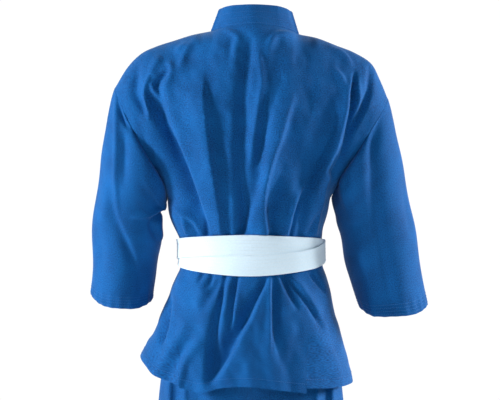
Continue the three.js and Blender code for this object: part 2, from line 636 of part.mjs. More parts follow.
const uniform = new THREE.Group();
uniform.name = "karate_uniform";

const jacket = new THREE.Group();
jacket.add(clothWall("back", 38, BODY_ROWS, backPoint));
for (const side of ["left", "right"]) {
  const left = side === "left";
  const frontAt = (u, v) => frontPoint(side, left ? u : 1 - u, 2 * v);
  jacket.add(clothWall("front_" + side, 14, BODY_ROWS, frontAt));
  const lapelAt = (u, v) => lapelPoint(side, 1 - v, left ? u : 1 - u);
  jacket.add(clothWall("lapel_" + side, 2, BODY_ROWS, lapelAt, { wall: BAND_WALL }));
  jacket.add(sleeveWall(side));
}
jacket.add(clothWall("collar", 20, 2, (u, v) => collarPoint(2 * u - 1, v), { wall: BAND_WALL }));

const belt = new THREE.Group();
const beltAt = (u, v) => beltPoint(lerp(720 - BELT_CUT, BELT_CUT, u), v);
belt.add(clothWall("belt", 84, 1, beltAt, { wall: BELT_WALL, material: WHITE }));
const beltFace = beltPoint(0, 0.5).y;
belt.add(knotWall(beltFace - KNOT.depth / 2 + KNOT.sunk));
for (const end of BELT_ENDS) belt.add(endWall(end, beltFace));

const trousers = new THREE.Group();
trousers.add(clothWall("waistband", 30, 2, waistbandPoint, { tube: true }));
trousers.add(trouserWall("trouser_back_left", 1, 1));
trousers.add(trouserWall("trouser_back_right", 1, -1));
trousers.add(trouserWall("trouser_front_left", -1, 1));
trousers.add(trouserWall("trouser_front_right", -1, -1));

uniform.add(jacket, belt, trousers);
export default uniform;
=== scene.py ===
# %% [markdown]
# # A child's karate uniform, seen from the back
# The jacket, its belt and the trousers are worn by nobody: the cloth keeps the form it has on a wearer.
# Each cut piece is one thin closed shell. Its outer face follows the same measures as the construction
# model, sampled more finely and with its creases laid on as soft troughs and ridges.
# Lengths are in millimetres until the points become a mesh.

# %% Load the construction model
import json
import math
import re

import bpy
import numpy as np
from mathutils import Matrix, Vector

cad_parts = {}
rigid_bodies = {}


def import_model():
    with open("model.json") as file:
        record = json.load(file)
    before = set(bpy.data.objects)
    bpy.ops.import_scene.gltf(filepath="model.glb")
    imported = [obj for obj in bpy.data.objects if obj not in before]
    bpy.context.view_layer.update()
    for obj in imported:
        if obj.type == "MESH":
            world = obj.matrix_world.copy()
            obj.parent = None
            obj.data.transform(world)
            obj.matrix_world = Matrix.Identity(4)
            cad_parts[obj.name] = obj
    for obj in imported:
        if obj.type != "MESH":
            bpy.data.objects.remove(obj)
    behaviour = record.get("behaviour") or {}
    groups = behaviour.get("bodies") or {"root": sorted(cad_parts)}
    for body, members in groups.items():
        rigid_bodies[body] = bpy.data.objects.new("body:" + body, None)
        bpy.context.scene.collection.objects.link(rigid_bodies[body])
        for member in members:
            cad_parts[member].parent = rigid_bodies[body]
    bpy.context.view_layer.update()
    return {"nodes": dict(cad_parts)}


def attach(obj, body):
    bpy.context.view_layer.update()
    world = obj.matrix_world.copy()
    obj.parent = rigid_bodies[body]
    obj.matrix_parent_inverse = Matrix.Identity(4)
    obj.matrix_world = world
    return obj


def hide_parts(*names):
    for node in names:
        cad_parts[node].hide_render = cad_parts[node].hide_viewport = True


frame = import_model()
print("nodes:", len(frame["nodes"]))

# %% [markdown]
# ## Measures
# A garment's form is a few girths and lengths. Short tables hold them in millimetres, with the wearer's
# left along +X and the back along +Y, and a smooth curve is read through each column. A table is easier
# to fit to a photograph than a sculpted mesh, because one number moves one girth.

# %% Tables and how they are read
MM = 0.001
HAND = {"left": 1, "right": -1}  # the sign of x on each side
WALL = 1.3
BAND_WALL = 2.3
BELT_WALL = 2.2
BELT_WIDTH = 34
UNDERARM_Z = -277
WAIST_Z = -365
LAYER = {"under": 0.0, "under_band": 2.9, "over": 5.8, "over_band": 8.7}


def numbers(text):
    """Rows of numbers from text, parted by commas or new lines."""
    return np.array([row.split() for row in re.split("[,\n]", text.strip())], float)


def table(columns, rows):
    """A short table as one array for each named column; the first column rises."""
    return dict(zip(columns.split(), numbers(rows).T))


def read(rows, value):
    """Every column of a table at each entry of value, along a smooth curve."""
    names = list(rows)
    keys = rows[names[0]]
    value = np.clip(np.asarray(value, float), keys[0], keys[-1])
    i = np.clip(np.searchsorted(keys, value, side="left") - 1, 0, len(keys) - 2)
    step = keys[i + 1] - keys[i]
    t = (value - keys[i]) / step
    before, after = np.maximum(i - 1, 0), np.minimum(i + 2, len(keys) - 1)
    found = {}
    for name in names[1:]:
        column = rows[name]
        slope0 = (column[i + 1] - column[before]) / (keys[i + 1] - keys[before]) * step
        slope1 = (column[after] - column[i]) / (keys[after] - keys[i]) * step
        blend = 3 * t**2 - 2 * t**3
        ends = column[i] * (1 - blend) + column[i + 1] * blend
        found[name] = ends + slope0 * (t**3 - 2 * t**2 + t) + slope1 * (t**3 - t**2)
    return found


def smooth(value, low, high):
    t = np.clip((np.asarray(value, float) - low) / (high - low), 0, 1)
    return t * t * (3 - 2 * t)


def mix(a, b, t):
    return a + (b - a) * t


TORSO = table("z left right back front", """
-620 204 178 122 116
-584 196 169 121 115
-543 185.5 159 118 112
-515 171 152 115 110
-485 155 144 111 107
-452 141 135 105 102
-424 130 129 97 97
-402 121 122 88 91
-385 117 118 83 88
-365 116 117 81 87
-344 117.5 117 82.5 88
-328 126 119.5 87 92
-305 135 125 91 95
-277 137 132 94 96
""")
SIDE_SEAM = table("z left right", """
-620 34 30
-584 34.5 31
-545 37 33
-505 43 37
-470 53 46
-430 67 63
-390 80 80
-343 88 88
-277 90 90
""")
FRONT_EDGE = table("level angle", "0 206, 0.7 195, 1 187, 1.42 165, 1.75 154, 2 153")
BACK_HEM = table("share z", "-1 -585, -0.6 -580, 0 -573, 0.4 -575, 0.68 -583, 1 -577")
FRONT_HEM = table("share left right", """
0 -573 -577
0.1 -560 -580
0.15 -549 -580
0.21 -542 -580
0.27 -538 -580
0.34 -537 -579
0.46 -540 -578
0.6 -556 -580
0.8 -580 -588
1 -590 -592
""")
RIDGE = table("share x y z", """
-1 -225 -5 -113
-0.88 -212 -5 -82
-0.78 -198 -5 -56
-0.66 -170 -4 -38
-0.52 -142 -3 -27
-0.4 -108 -2 -14
-0.3 -79 -1 -8
-0.22 -66 21 -3
-0.15 -46 38 2
0 -6 52 6
0.15 34 39 3
0.22 52 22 0
0.3 66 -1 -3
0.42 96 -2 -9
0.54 125 -3 -18
0.67 156 -4 -28
0.78 181 -5 -40
0.88 203 -5 -62
1 224 -5 -96
""")
PULL = "share up_x up_y up_z down_x down_y down_z"
BACK_PULL = table(PULL, """
0 0 6 95 0 26 -50
0.15 1 9 93 0 30 -38
0.3 2 14 90 0 44 -18
0.42 4 20 88 0 56 -10
0.65 10 34 82 -2 70 -8
1 22 70 58 -2 66 -14
""")
# the shoulder line as the back's strands see it; the turn at the neck's corners is kept near the seam
CALM_RIDGE = table("share y", "0 52, 0.2 42, 0.4 18, 0.6 1, 0.8 -5, 1 -5")
FRONT_PULL = table(PULL, """
0 0 -2 92 0 -30 -60
0.3 2 -8 88 0 -58 -8
0.65 10 -30 80 -2 -66 -8
1 22 -66 58 -2 -62 -14
""")
CORNER_POWER = 9
NECK_SIDE = 0.3
NECK_FRONT = {"y": -60, "z": -30}
print("torso sections:", len(TORSO["z"]))

# %% [markdown]
# ## The jacket's body as one surface
# The back and both fronts share one surface, in degrees round the body and a level that is 0 at the hem,
# 1 at the underarm and 2 on the shoulder. Rings make it below the underarm. Above, strands of cloth run
# from the ring to the shoulder ridge, each pulled smooth as it would be over a shoulder blade.


# %% Body surface
def ring_point(degrees, z):
    ring = read(TORSO, z)
    turn = np.radians(degrees)
    square = 1 + 0.035 * np.sin(2 * turn) ** 2
    width = np.where(np.sin(turn) > 0, ring["left"], ring["right"])
    depth = np.where(np.cos(turn) > 0, ring["back"], ring["front"])
    x, y = width * np.sin(turn) * square, depth * np.cos(turn) * square
    return np.stack([x, y, np.asarray(z) + 0 * x], -1)


def shoulder_point(degrees, rise):
    turn = np.mod(degrees, 360)
    front = (turn > 90) & (turn < 270)
    share = np.where(front, (180 - turn) / 90, np.where(turn > 180, turn - 360, turn) / 90)
    side = np.where(share < 0, -1, 1)
    back_pull, front_pull = read(BACK_PULL, np.abs(share)), read(FRONT_PULL, np.abs(share))
    pull = {k: np.where(front, front_pull[k], back_pull[k]) for k in back_pull}
    top = read(RIDGE, share)
    neck = front & (np.abs(share) < NECK_SIDE)
    opened = 1 - (share / NECK_SIDE) ** 2
    top["y"] = np.where(neck, mix(top["y"] - 2 * np.maximum(top["y"], 0), NECK_FRONT["y"], opened), top["y"])
    top["z"] = np.where(neck, mix(top["z"], NECK_FRONT["z"], opened), top["z"])
    calm = np.where(front, top["y"], read(CALM_RIDGE, np.abs(share))["y"])
    corner = top["y"] - calm
    ridge = np.stack([top["x"], calm, top["z"]], -1)
    bottom = ring_point(degrees, UNDERARM_Z)
    up = bottom + np.stack([pull["up_x"] * side, pull["up_y"], pull["up_z"]], -1)
    down = ridge + np.stack([pull["down_x"] * side, pull["down_y"], pull["down_z"]], -1)
    t = np.asarray(rise)[..., None]
    point = (1 - t) ** 3 * bottom + 3 * (1 - t) ** 2 * t * up + 3 * (1 - t) * t**2 * down + t**3 * ridge
    point[..., 1] += corner * rise**CORNER_POWER
    return point


def body_point(degrees, level, hem_z):
    low = ring_point(degrees, mix(hem_z, UNDERARM_Z, np.minimum(level, 1)))
    high = shoulder_point(degrees, np.maximum(level - 1, 0))
    return np.where((level > 1)[..., None], high, low)


def unit(v):
    return v / np.maximum(np.linalg.norm(v, axis=-1, keepdims=True), 1e-9)


def outward(surface, degrees, height, step):
    """Normals of surface(degrees, height), from the points half a degree and one step away."""
    across = surface(degrees + 0.5, height) - surface(degrees - 0.5, height)
    up = surface(degrees, height + step) - surface(degrees, height - step)
    return unit(np.cross(up, across))


def on_body(degrees, level, hem_z, off):
    """Points that stand off the body's surface by off, which may differ from point to point."""
    normal = outward(lambda d, l: body_point(d, l, hem_z), degrees, level, 0.004)
    return body_point(degrees, level, hem_z) + normal * np.asarray(off)[..., None]


# %% [markdown]
# ## Creases
# Worn cloth creases where it is gathered or pulled: down the back into the belt, out of the belt into the
# skirt, and round the armholes. Each crease here is a drawn line of points (x, z, height, left, right):
# the height is below zero for a trough, and left and right are how softly it falls away on each side as
# one looks down the line from behind. A strip of cloth that leans over has one soft and one sharp side.
# Smaller wrinkles are a sum of stretched waves over the whole cloth.


# %% Crease profiles
def drawn(text):
    """Creases from text, a line to each; a line that ends in a comma goes on in the next."""
    lines = re.sub("#.*\n", "", text).strip().replace(",\n", ", ").split("\n")
    return [numbers(line) for line in lines]


def smooth_line(points, parts=5):
    """The same line with more points, along a smooth curve."""
    rows = dict(zip(("t", *"abcde"), np.vstack([np.arange(len(points)), points.T])))
    fine = read(rows, np.linspace(0, len(points) - 1, parts * (len(points) - 1) + 1))
    return np.stack([fine[k] for k in "abcde"], -1)


def crease_height(lines, x, z):
    """Height of all the creases of a table at the points (x, z)."""
    total = np.zeros(np.broadcast(x, z).shape)
    for points in lines:
        line = smooth_line(points)
        reach = 2.6 * line[:, 3:].max()
        low, high = line[:, :2].min(0) - reach, line[:, :2].max(0) + reach
        near = (x > low[0]) & (x < high[0]) & (z > low[1]) & (z < high[1])
        px, pz = x[near], z[near]
        nearest, height = np.full(px.shape, np.inf), np.zeros(px.shape)
        for a, b in zip(line[:-1], line[1:]):
            dx, dz = b[0] - a[0], b[1] - a[1]
            t = np.clip(((px - a[0]) * dx + (pz - a[1]) * dz) / (dx * dx + dz * dz), 0, 1)
            ox, oz = px - a[0] - t * dx, pz - a[1] - t * dz
            distance = np.hypot(ox, oz)
            soft = np.where(oz * dx - ox * dz > 0, mix(a[3], b[3], t), mix(a[4], b[4], t))
            closer = distance < nearest
            height = np.where(closer, mix(a[2], b[2], t) * np.exp(-((distance / soft) ** 2)), height)
            nearest = np.minimum(nearest, distance)
        total[near] += height
    return total


def noise(x, z, seed, size):
    """Smooth waves of many directions, about 1 high, repeated the same each time."""
    made = np.random.default_rng(seed)
    total = 0
    for _ in range(14):
        angle, phase, scale = made.uniform(0, 2 * np.pi), made.uniform(0, 2 * np.pi), made.uniform(0.6, 1.8)
        total = total + np.sin((x * np.cos(angle) + z * np.sin(angle)) * 2 * np.pi / (size * scale) + phase)
    return total / 3.7


BACK_CREASES = drawn("""
# the two strips beside the spine, each with a sharp edge
79 -62 0 26 8, 76 -103 8 34 5, 71 -153 12 38 4, 66 -185 13 36 4, 61 -225 13 30 4, 55 -264 12 24 4,
48 -317 10 16 4, 46 -339 9 13 4
-43 -91 0 10 5, -30 -137 -4 12 5, -22 -178 -5 12 5, -18 -213 -6 12 4, -14 -242 -6 12 4, -5 -271 -6 12 5,
4 -296 -6 10 6, 12 -325 -5 8 8
-67 -103 0 20 7, -58 -137 7 24 6, -49 -173 11 22 5, -38 -205 12 16 4, -28 -236 12 12 4, -22 -269 11 15 4,
-21 -290 10 18 3.5, -26 -327 9 24 3.5
# the cone of cloth at the left and the valley beside it
134 -90 0 8 12, 130 -142 3 6 14, 116 -169 4 6 16, 104 -205 4 6 16, 92 -236 4 6 14, 78 -269 3 6 12,
63 -301 0 6 10
152 -91 -4 8 8, 149 -122 -12 12 8, 141 -152 -18 14 7, 129 -180 -24 17 7, 116 -210 -27 20 7, 102 -247 -26 22 7,
89 -282 -20 20 6, 76 -314 -10 16 5, 68 -338 -4 12 5
# the spine's troughs and the faint ridges in them
-5 -11 0 7 7, 0 -24 -4 7 7, 4 -49 -5 8 8, 10 -84 -6 10 10, 13 -108 -8 12 12, 13 -156 -9 12 12,
18 -201 -9 10 14, 13 -258 -10 10 12, 10 -296 -9 9 7, 16 -333 -6 7 4
29 -132 0 8 8, 32 -201 1.5 8 8, 31 -247 2 9 8, 29 -293 2.5 9 7, 27 -333 2 8 7
-12 -32 0 4 5, -14 -54 3 5 5, -17 -87 4 5 6, -12 -121 4 5 6, -5 -167 4 5 5, 0 -205 3 5 5, 6 -244 0 5 5
-26 -97 0 5 5, -23 -116 -3 5 5, -19 -161 -4 5 6, -11 -205 -3 4 5, -6 -231 0 4 4
# the broad hollow at the right and the ridge beyond it
-73 -135 0 16 18, -69 -161 -4 16 20, -59 -213 -6 15 20, -43 -255 -7 12 16, -35 -293 -6 8 10, -34 -330 -5 4 7
-99 -87 0 14 12, -96 -108 -3 16 12, -88 -135 0 14 12
-128 -105 0 20 8, -135 -145 -8 26 8, -128 -178 -13 34 7, -114 -213 -16 38 7, -99 -247 -14 32 6,
-90 -271 -10 20 6, -82 -304 -6 9 6, -76 -336 -3 6 6
-96 -245 0 7 4, -75 -274 6 8 4, -65 -298 6 7 4, -56 -333 5 6 3
-93 -256 0 4 4, -77 -287 -6 3.5 4, -69 -314 -6 3.5 4, -63 -335 -4 3 3
-110 -292 0 4 4, -102 -307 -4 4 4, -93 -330 -3 4 4
# near the belt at the left
128 -288 0 3 4, 118 -296 4 3 4, 104 -304 4 3 5, 86 -327 2 3 5
113 -298 0 4 3, 107 -315 4 4 3, 102 -336 3 3 3
104 -306 -1 4 4, 96 -320 -4 4 4, 89 -335 -3 4 4
80 -298 0 4 5, 75 -317 -4 4 5, 72 -336 -4 4 4
# below the collar and over the shoulders
51 -1 0 4 6, 37 -4 3 4 7, 26 -11 4 5 7, 22 -20 4 6 7, 27 -44 3 7 8, 29 -78 0 8 8
32 -14 0 5 4, 33 -30 -3 6 4, 33 -52 0 6 5
-75 -9 0 6 5, -56 -9 4 6 6, -41 -12 5 6 6, -32 -22 5 6 7, -29 -33 3 6 8, -28 -52 0 6 8
86 -14 0 5 7, 102 -35 4 6 8, 113 -60 4 6 9, 126 -81 0 6 9
89 -24 0 6 8, 100 -44 -4 6 9, 107 -62 0 6 9
104 -22 0 4 6, 115 -32 3 5 6, 126 -43 0 5 6
-123 -27 0 7 4, -137 -35 3 8 4, -148 -41 4 8 4, -158 -52 3 7 4, -164 -68 0 6 4
-128 -59 0 8 4, -139 -71 4 8 4, -148 -83 4 8 4, -156 -100 0 7 4
# at the left armhole: a hooked ridge, a pointed fold and a drop-shaped one
140 -54 0 4 4, 131 -59 4 4 5, 128 -68 5 4 6, 132 -83 5 5 7, 140 -99 2 6 8
132 -67 0 4 4, 140 -75 -6 5 4, 150 -87 -6 5 5, 158 -99 0 4 4
161 -78 0 4 4, 166 -84 5 4 3, 172 -103 5 5 3, 169 -122 5 5 3, 164 -140 4 5 3, 167 -150 0 4 3
163 -84 0 3 4, 158 -97 4 3 4, 152 -108 4 3 4, 144 -118 0 3 4
166 -97 0 3 3, 163 -110 -5 3 4, 158 -122 -4 3 4, 156 -135 0 4 5
182 -52 0 6 6, 187 -78 -5 7 7, 187 -103 -7 8 8, 177 -126 -7 7 6, 171 -142 0 5 5
145 -43 0 8 6, 152 -55 4 9 6, 160 -71 3 8 5, 167 -81 0 6 4
# at the right armhole: a long dark sliver between two ridges
-169 -68 0 2.5 2.5, -167 -87 -9 3.5 3, -164 -111 -11 5 4, -162 -135 -12 6 6, -156 -164 -13 7 8,
-145 -196 -12 7 9, -129 -231 -9 6 8
-164 -75 0 6 2.5, -161 -97 5 9 2.5, -159 -124 8 14 3, -154 -151 9 18 3.5, -150 -175 9 20 4, -140 -208 9 20 4,
-126 -235 9 18 5, -116 -258 8 16 5, -110 -285 7 13 5, -105 -310 6 12 5, -101 -335 5 10 5
-172 -75 0 2.5 5, -173 -97 5 2.5 5, -175 -116 4 3 5, -174 -135 0 3 5
# over the right shoulder, into the armhole
-191 -54 0 4 5, -194 -77 -5 6 5, -191 -103 -7 7 5, -183 -127 -8 6 4, -171 -151 -8 5 4, -162 -171 0 5 4
# out of the belt into the skirt: one large inverted fold and a lobe beside it
-24 -406 -4 6 3, -8 -437 -11 12 3.5, 5 -463 -15 18 4, 19 -488 -17 22 4, 32 -514 -18 26 4, 45 -536 -16 22 4.5,
60 -557 -9 12 6, 72 -576 0 8 8
-30 -406 1 3 8, -13 -439 3 3.5 14, 11 -488 4 4 18, 35 -534 4 4 18, 52 -560 0 5 16
41 -398 -5 4 5, 46 -418 -8 4 5, 50 -442 -9 5 5, 55 -466 -10 7 5, 60 -493 -11 8 7, 64 -522 -9 7 12,
67 -549 -6 6 10, 70 -569 0 6 8
21 -398 -5 6 3, 25 -418 -9 8 3, 29 -442 -9 9 3, 32 -463 -7 8 3, 37 -484 0 6 4
# short creases where the belt gathers the skirt
74 -391 -4 3.5 3.5, 81 -401 -5 3 3, 87 -412 0 3 3
62 -394 -4 3.5 4, 68 -409 -5 3.5 4, 80 -423 0 4 4
52 -407 -3 6 6, 62 -421 -6 8 7, 72 -439 -5 8 7, 81 -463 0 8 8
-35 -398 -4 2.5 8, -36 -434 -7 2.5 10, -37 -474 -7 2.5 11, -41 -506 -4 4 14, -52 -538 -2 8 14, -59 -561 0 8 12
-31 -402 2 5 2, -31 -450 3 6 2, -31 -498 3 7 2, -31 -533 0 7 4
-48 -396 -5 3 4, -56 -410 -8 4 4, -64 -425 -8 5 4, -72 -441 -5 5 4, -76 -456 0 4 4
-56 -396 -3 4 2.5, -73 -418 -5 4 2.5, -91 -442 -5 5 2.5, -105 -466 -4 5 2.5, -118 -490 0 5 3
-60 -396 0 2.5 6, -78 -418 3 2.5 8, -95 -442 4 2.5 10, -110 -466 3 3 11, -127 -501 0 4 11
-92 -387 -4 3 3.5, -103 -404 -7 3 3.5, -113 -417 -6 3 3.5, -121 -431 0 3 3
# the flare at the left and the soft waves near the hem
131 -434 0 4 4, 135 -449 -9 5 4, 140 -472 -13 6 5, 144 -493 -11 7 5, 147 -514 0 6 5
98 -466 0 6 7, 108 -484 4 7 7, 120 -505 6 8 8, 135 -525 6 8 8, 151 -554 5 8 8
75 -491 0 7 7, 88 -510 3 8 8, 101 -527 5 8 7, 109 -547 5 8 6, 115 -571 4 7 6
85 -478 0 6 6, 103 -506 -3 7 7, 120 -533 -5 8 8, 133 -563 -5 8 8
-108 -479 0 10 10, -120 -508 3 12 10, -133 -540 4 12 10, -145 -582 4 12 10
-78 -466 0 12 10, -72 -506 -2 12 12, -65 -549 -3 14 12, -62 -587 -3 14 12
-2 -506 0 12 12, 2 -538 3 14 14, 2 -581 3 16 16
""")
# the hidden fronts, similar to the back; the right front mirrors the left one
FRONT_CREASES = drawn("""
120 -105 0 14 8, 92 -220 11 12 6, 60 -345 8 8 5
92 -150 0 12 12, 64 -250 -11 10 9, 38 -345 -10 8 7
140 -150 0 10 10, 118 -225 -9 9 8, 96 -300 0 7 7
150 -70 0 10 6, 138 -110 7 10 5, 120 -150 0 9 9
164 -76 0 5 5, 158 -108 -7 6 5, 146 -142 -6 6 6, 132 -170 0 7 7
128 -235 0 6 5, 112 -285 -6 6 5, 100 -345 -6 5 4
100 -262 0 6 4, 88 -300 6 6 4, 78 -345 5 5 3
76 -296 0 4 4, 70 -318 -5 4 4, 66 -345 -5 4 4
104 -390 -5 6 5, 114 -470 -11 11 8, 128 -590 -8 16 12
70 -390 -5 6 4, 84 -480 -12 12 5, 100 -592 -9 16 8
88 -390 3 4 4, 98 -440 6 6 5, 112 -520 4 9 8, 120 -590 3 10 10
60 -392 -5 3 4, 66 -412 -6 3 4, 74 -436 0 4 4
116 -392 -4 3 3, 124 -414 -6 4 3, 134 -440 0 4 4
40 -390 3 8 8, 44 -480 8 12 12, 48 -595 7 18 18
""")


def under_belt(degrees, z, height):
    """Flattens creases beneath the belt, and troughs where the waistband lies just inside."""
    at_back = smooth(np.cos(np.radians(degrees)), 0, 0.85)
    free = smooth(np.abs(z - WAIST_Z), mix(23, 33, at_back), mix(30, 39, at_back))
    outward = mix(mix(0.8, 2, at_back), 40, free)
    inward = 40 * np.maximum(smooth(z, -372, -362), smooth(-z, 384, 450)) + 1
    return np.clip(height, -inward, outward)


def cloth_height(degrees, base):
    """Height of all creases and wrinkles on the jacket's body."""
    x, y, z = base[..., 0], base[..., 1], base[..., 2]
    hand = np.where(x < 0, -1, 1)
    height = crease_height(BACK_CREASES, x, z) * smooth(y, 0, 26)
    height = height + crease_height(FRONT_CREASES, x * hand, z) * (1 - smooth(y, -26, 0))
    wrinkles = noise(x, z * 0.42, 5, 52) * 1.2 + noise(x, z * 0.7, 9, 24) * 0.4
    return under_belt(degrees, z, height + wrinkles)


print("creases on the body:", len(BACK_CREASES) + 2 * len(FRONT_CREASES))

# %% [markdown]
# ## From points to cloth
# A grid of points becomes a closed shell: the outer face, an inner face one wall further in, and rims at
# the edges. The same grid gives a UV map in metres along the threads, which the weave follows.


# %% Objects from points
def add_object(name, data):
    made = bpy.data.objects.new(name, data)
    bpy.context.collection.objects.link(made)
    return made


def mesh_object(name, points, edges, faces):
    mesh = bpy.data.meshes.new(name)
    mesh.from_pydata(points, edges, faces)
    return add_object(name, mesh)


def shade_smooth(mesh):
    mesh.polygons.foreach_set("use_smooth", np.ones(len(mesh.polygons), bool))


# %% Shell of cloth
RIM_ANGLE = math.radians(55)  # a wall's rim meets its face in a crisp edge


def smooth_normals(grid, closed):
    """Outward normals of a grid of points whose columns turn from the wearer's right to the left."""
    if closed:
        across = np.roll(grid, -1, axis=1) - np.roll(grid, 1, axis=1)
    else:
        across = np.gradient(grid, axis=1)
    up = np.gradient(grid, axis=0)
    return unit(np.cross(up, across))


def spread_uv(grid, closed):
    """Lengths along the middle row and the middle column of a grid, in metres."""
    middle_row, middle_column = grid[len(grid) // 2], grid[:, grid.shape[1] // 2]
    if closed:
        middle_row = np.vstack([middle_row, middle_row[:1]])
    steps = [np.linalg.norm(np.diff(line, axis=0), axis=1) for line in (middle_row, middle_column)]
    return [np.concatenate([[0], np.cumsum(s)]) * MM for s in steps]


def cloth_shell(name, grid, wall=WALL, closed=False):
    """grid[row, column] in millimetres, rows upwards, columns from the wearer's right to the left."""
    rows, columns = grid.shape[:2]
    inner = grid - smooth_normals(grid, closed) * wall
    points = np.concatenate([grid.reshape(-1, 3), inner.reshape(-1, 3)]) * MM
    count = rows * columns
    spans = columns if closed else columns - 1
    i, j = np.meshgrid(np.arange(spans), np.arange(rows - 1))
    i, j = i.ravel(), j.ravel()
    k = (i + 1) % columns

    def corner(row, column):
        return row * columns + column

    outer = np.stack([corner(j, i), corner(j + 1, i), corner(j + 1, k), corner(j, k)], 1)
    faces = [outer, outer[:, ::-1] + count]
    edge_i = np.arange(spans)
    edge_k = (edge_i + 1) % columns
    for row, turn in ((0, 1), (rows - 1, -1)):
        a, b = corner(row, edge_i), corner(row, edge_k)
        faces.append(np.stack([a, b, b + count, a + count], 1)[:, ::turn])
    if not closed:
        edge_j = np.arange(rows - 1)
        for column, turn in ((0, 1), (columns - 1, -1)):
            a, b = corner(edge_j, column), corner(edge_j + 1, column)
            faces.append(np.stack([a, a + count, b + count, b], 1)[:, ::turn])
    faces = np.concatenate(faces)
    piece = mesh_object(name, points.tolist(), [], faces.tolist())
    mesh = piece.data
    along_u, along_v = spread_uv(grid, closed)
    # a closed row's last faces end at the full girth, not back at 0
    wraps = np.zeros(faces.shape, bool)
    if closed:
        column_of = faces % count % columns
        wraps = (column_of == 0) & (column_of.max(1, keepdims=True) == columns - 1)
    uv = np.stack([np.where(wraps, along_u[-1], along_u[faces % count % columns]),
                   along_v[faces % count // columns]], -1)
    layer = mesh.uv_layers.new(name="threads")
    layer.data.foreach_set("uv", uv.reshape(-1))
    shade_smooth(mesh)
    mesh.set_sharp_from_angle(angle=RIM_ANGLE)
    mesh.update()
    return piece


def grid_of(columns, rows, point_at, closed=False):
    """Points of point_at(u, v) for u across and v up, both from 0 to 1."""
    u = np.linspace(0, 1, columns + 1)[:-1] if closed else np.linspace(0, 1, columns + 1)
    v = np.linspace(0, 1, rows + 1)
    return point_at(*np.meshgrid(u, v))


pieces = {}  # every finished piece by name
grids = {}  # the outer points of each piece, on which its stitches lie


def make(name, columns, rows, point_at, wall=WALL, closed=False):
    grids[name] = grid_of(columns, rows, point_at, closed)
    pieces[name] = cloth_shell(name + "_cloth", grids[name], wall, closed)
    print(f"{name}: {columns} x {rows}")
    return pieces[name]


# %% [markdown]
# ## Back and fronts
# The side seams swing towards the back in the skirt and end in short vents. The wearer's left front lies
# over the right one, so it lifts onto it over a few degrees. Near the armholes the creases fade, so that
# the sleeves meet the panels along a clean seam.

# %% Body panels
VENT_TOP_Z = -505
VENT_SPREAD = 0.03
SEAM_DEGREES = 0.004
RIDGE_GAP = 0.35
BAND_ANGLE = 17


def seam_angle(side, level, hem_z, outwards):
    z = mix(hem_z, UNDERARM_Z, np.minimum(level, 1))
    opened = 1 - smooth(z, VENT_TOP_Z - 20, VENT_TOP_Z)
    angle = read(SIDE_SEAM, z)[side] + outwards * opened * VENT_SPREAD
    return np.where(level > 1, 90, angle)


def away_from_armhole(share, level):
    near = smooth(np.abs(share), 0.93, 0.995) * smooth(level, 0.98, 1.05)
    return (1 - near) * (1 - smooth(level, 1.93, 2))


def back_at(u, v):
    share, level = 2 * u - 1, 2 * v
    hem_z = read(BACK_HEM, share)["z"]
    left, right = (seam_angle(side, level, hem_z, -1) - SEAM_DEGREES for side in HAND)
    degrees = share * np.where(share > 0, left, right)
    base = body_point(degrees, level, hem_z)
    height = cloth_height(degrees, base) * away_from_armhole(share, level)
    points = on_body(degrees, level, hem_z, height)
    points[..., 1] += RIDGE_GAP * smooth(level, 1.85, 2)
    return points


def front_surface(side, degrees, level, hem_z, extra, creased=1.0):
    hand = HAND[side]
    off = LAYER["under"]
    if side == "left":
        band_end = 360 - read(FRONT_EDGE, level)["angle"] - BAND_ANGLE
        crossed = smooth(degrees, band_end - 27, band_end - 11)
        off = mix(LAYER["under"], LAYER["over"], crossed * (1 - smooth(level, 1.5, 1.85)))
    base = body_point(degrees * hand, level, hem_z)
    flat = 1 - smooth(degrees, 118, 135)
    share = np.where(degrees > 90, (180 - degrees) / 90, 0)
    height = cloth_height(degrees, base) * flat * away_from_armhole(share, level) * creased
    points = on_body(degrees * hand, level, hem_z, off + height + extra)
    points[..., 1] -= RIDGE_GAP * smooth(level, 1.85, 2)
    return points


def front_at(side):
    def point_at(u, v):
        share = u if side == "left" else 1 - u
        level = 2 * v
        hem_z = read(FRONT_HEM, share)[side]
        start = seam_angle(side, level, hem_z, 1) + SEAM_DEGREES
        end = read(FRONT_EDGE, level)["angle"]
        return front_surface(side, mix(start, end, share), level, hem_z, 0)

    return point_at


make("back", 170, 250, back_at)
for side in HAND:
    make("front_" + side, 96, 200, front_at(side))

# %% [markdown]
# ## Collar and lapels
# One folded band edges the jacket. It stands round the neck, leaning in, and turns flat over the shoulders
# to run down both fronts. Being several layers of cloth it is thicker and creases less than the panels.

# %% Neck and lapel bands
COLLAR_WIDTH = 38
COLLAR_LEAN = table("share x y z", "-1 11 -2 36, 0 0 -19 33, 1 -13 -2 35")


def collar_rise(share):
    lean = read(COLLAR_LEAN, share)
    return unit(np.stack([lean["x"], lean["y"], lean["z"]], -1)) * COLLAR_WIDTH


def collar_at(u, v):
    share = 2 * u - 1
    seam = read(RIDGE, share * NECK_SIDE)
    wave = noise(seam["x"], v * 30, 3, 40) * 0.5 * v
    root = np.stack([seam["x"], seam["y"] + RIDGE_GAP + wave, seam["z"] + 0.3], -1)
    return root + collar_rise(share) * v[..., None]


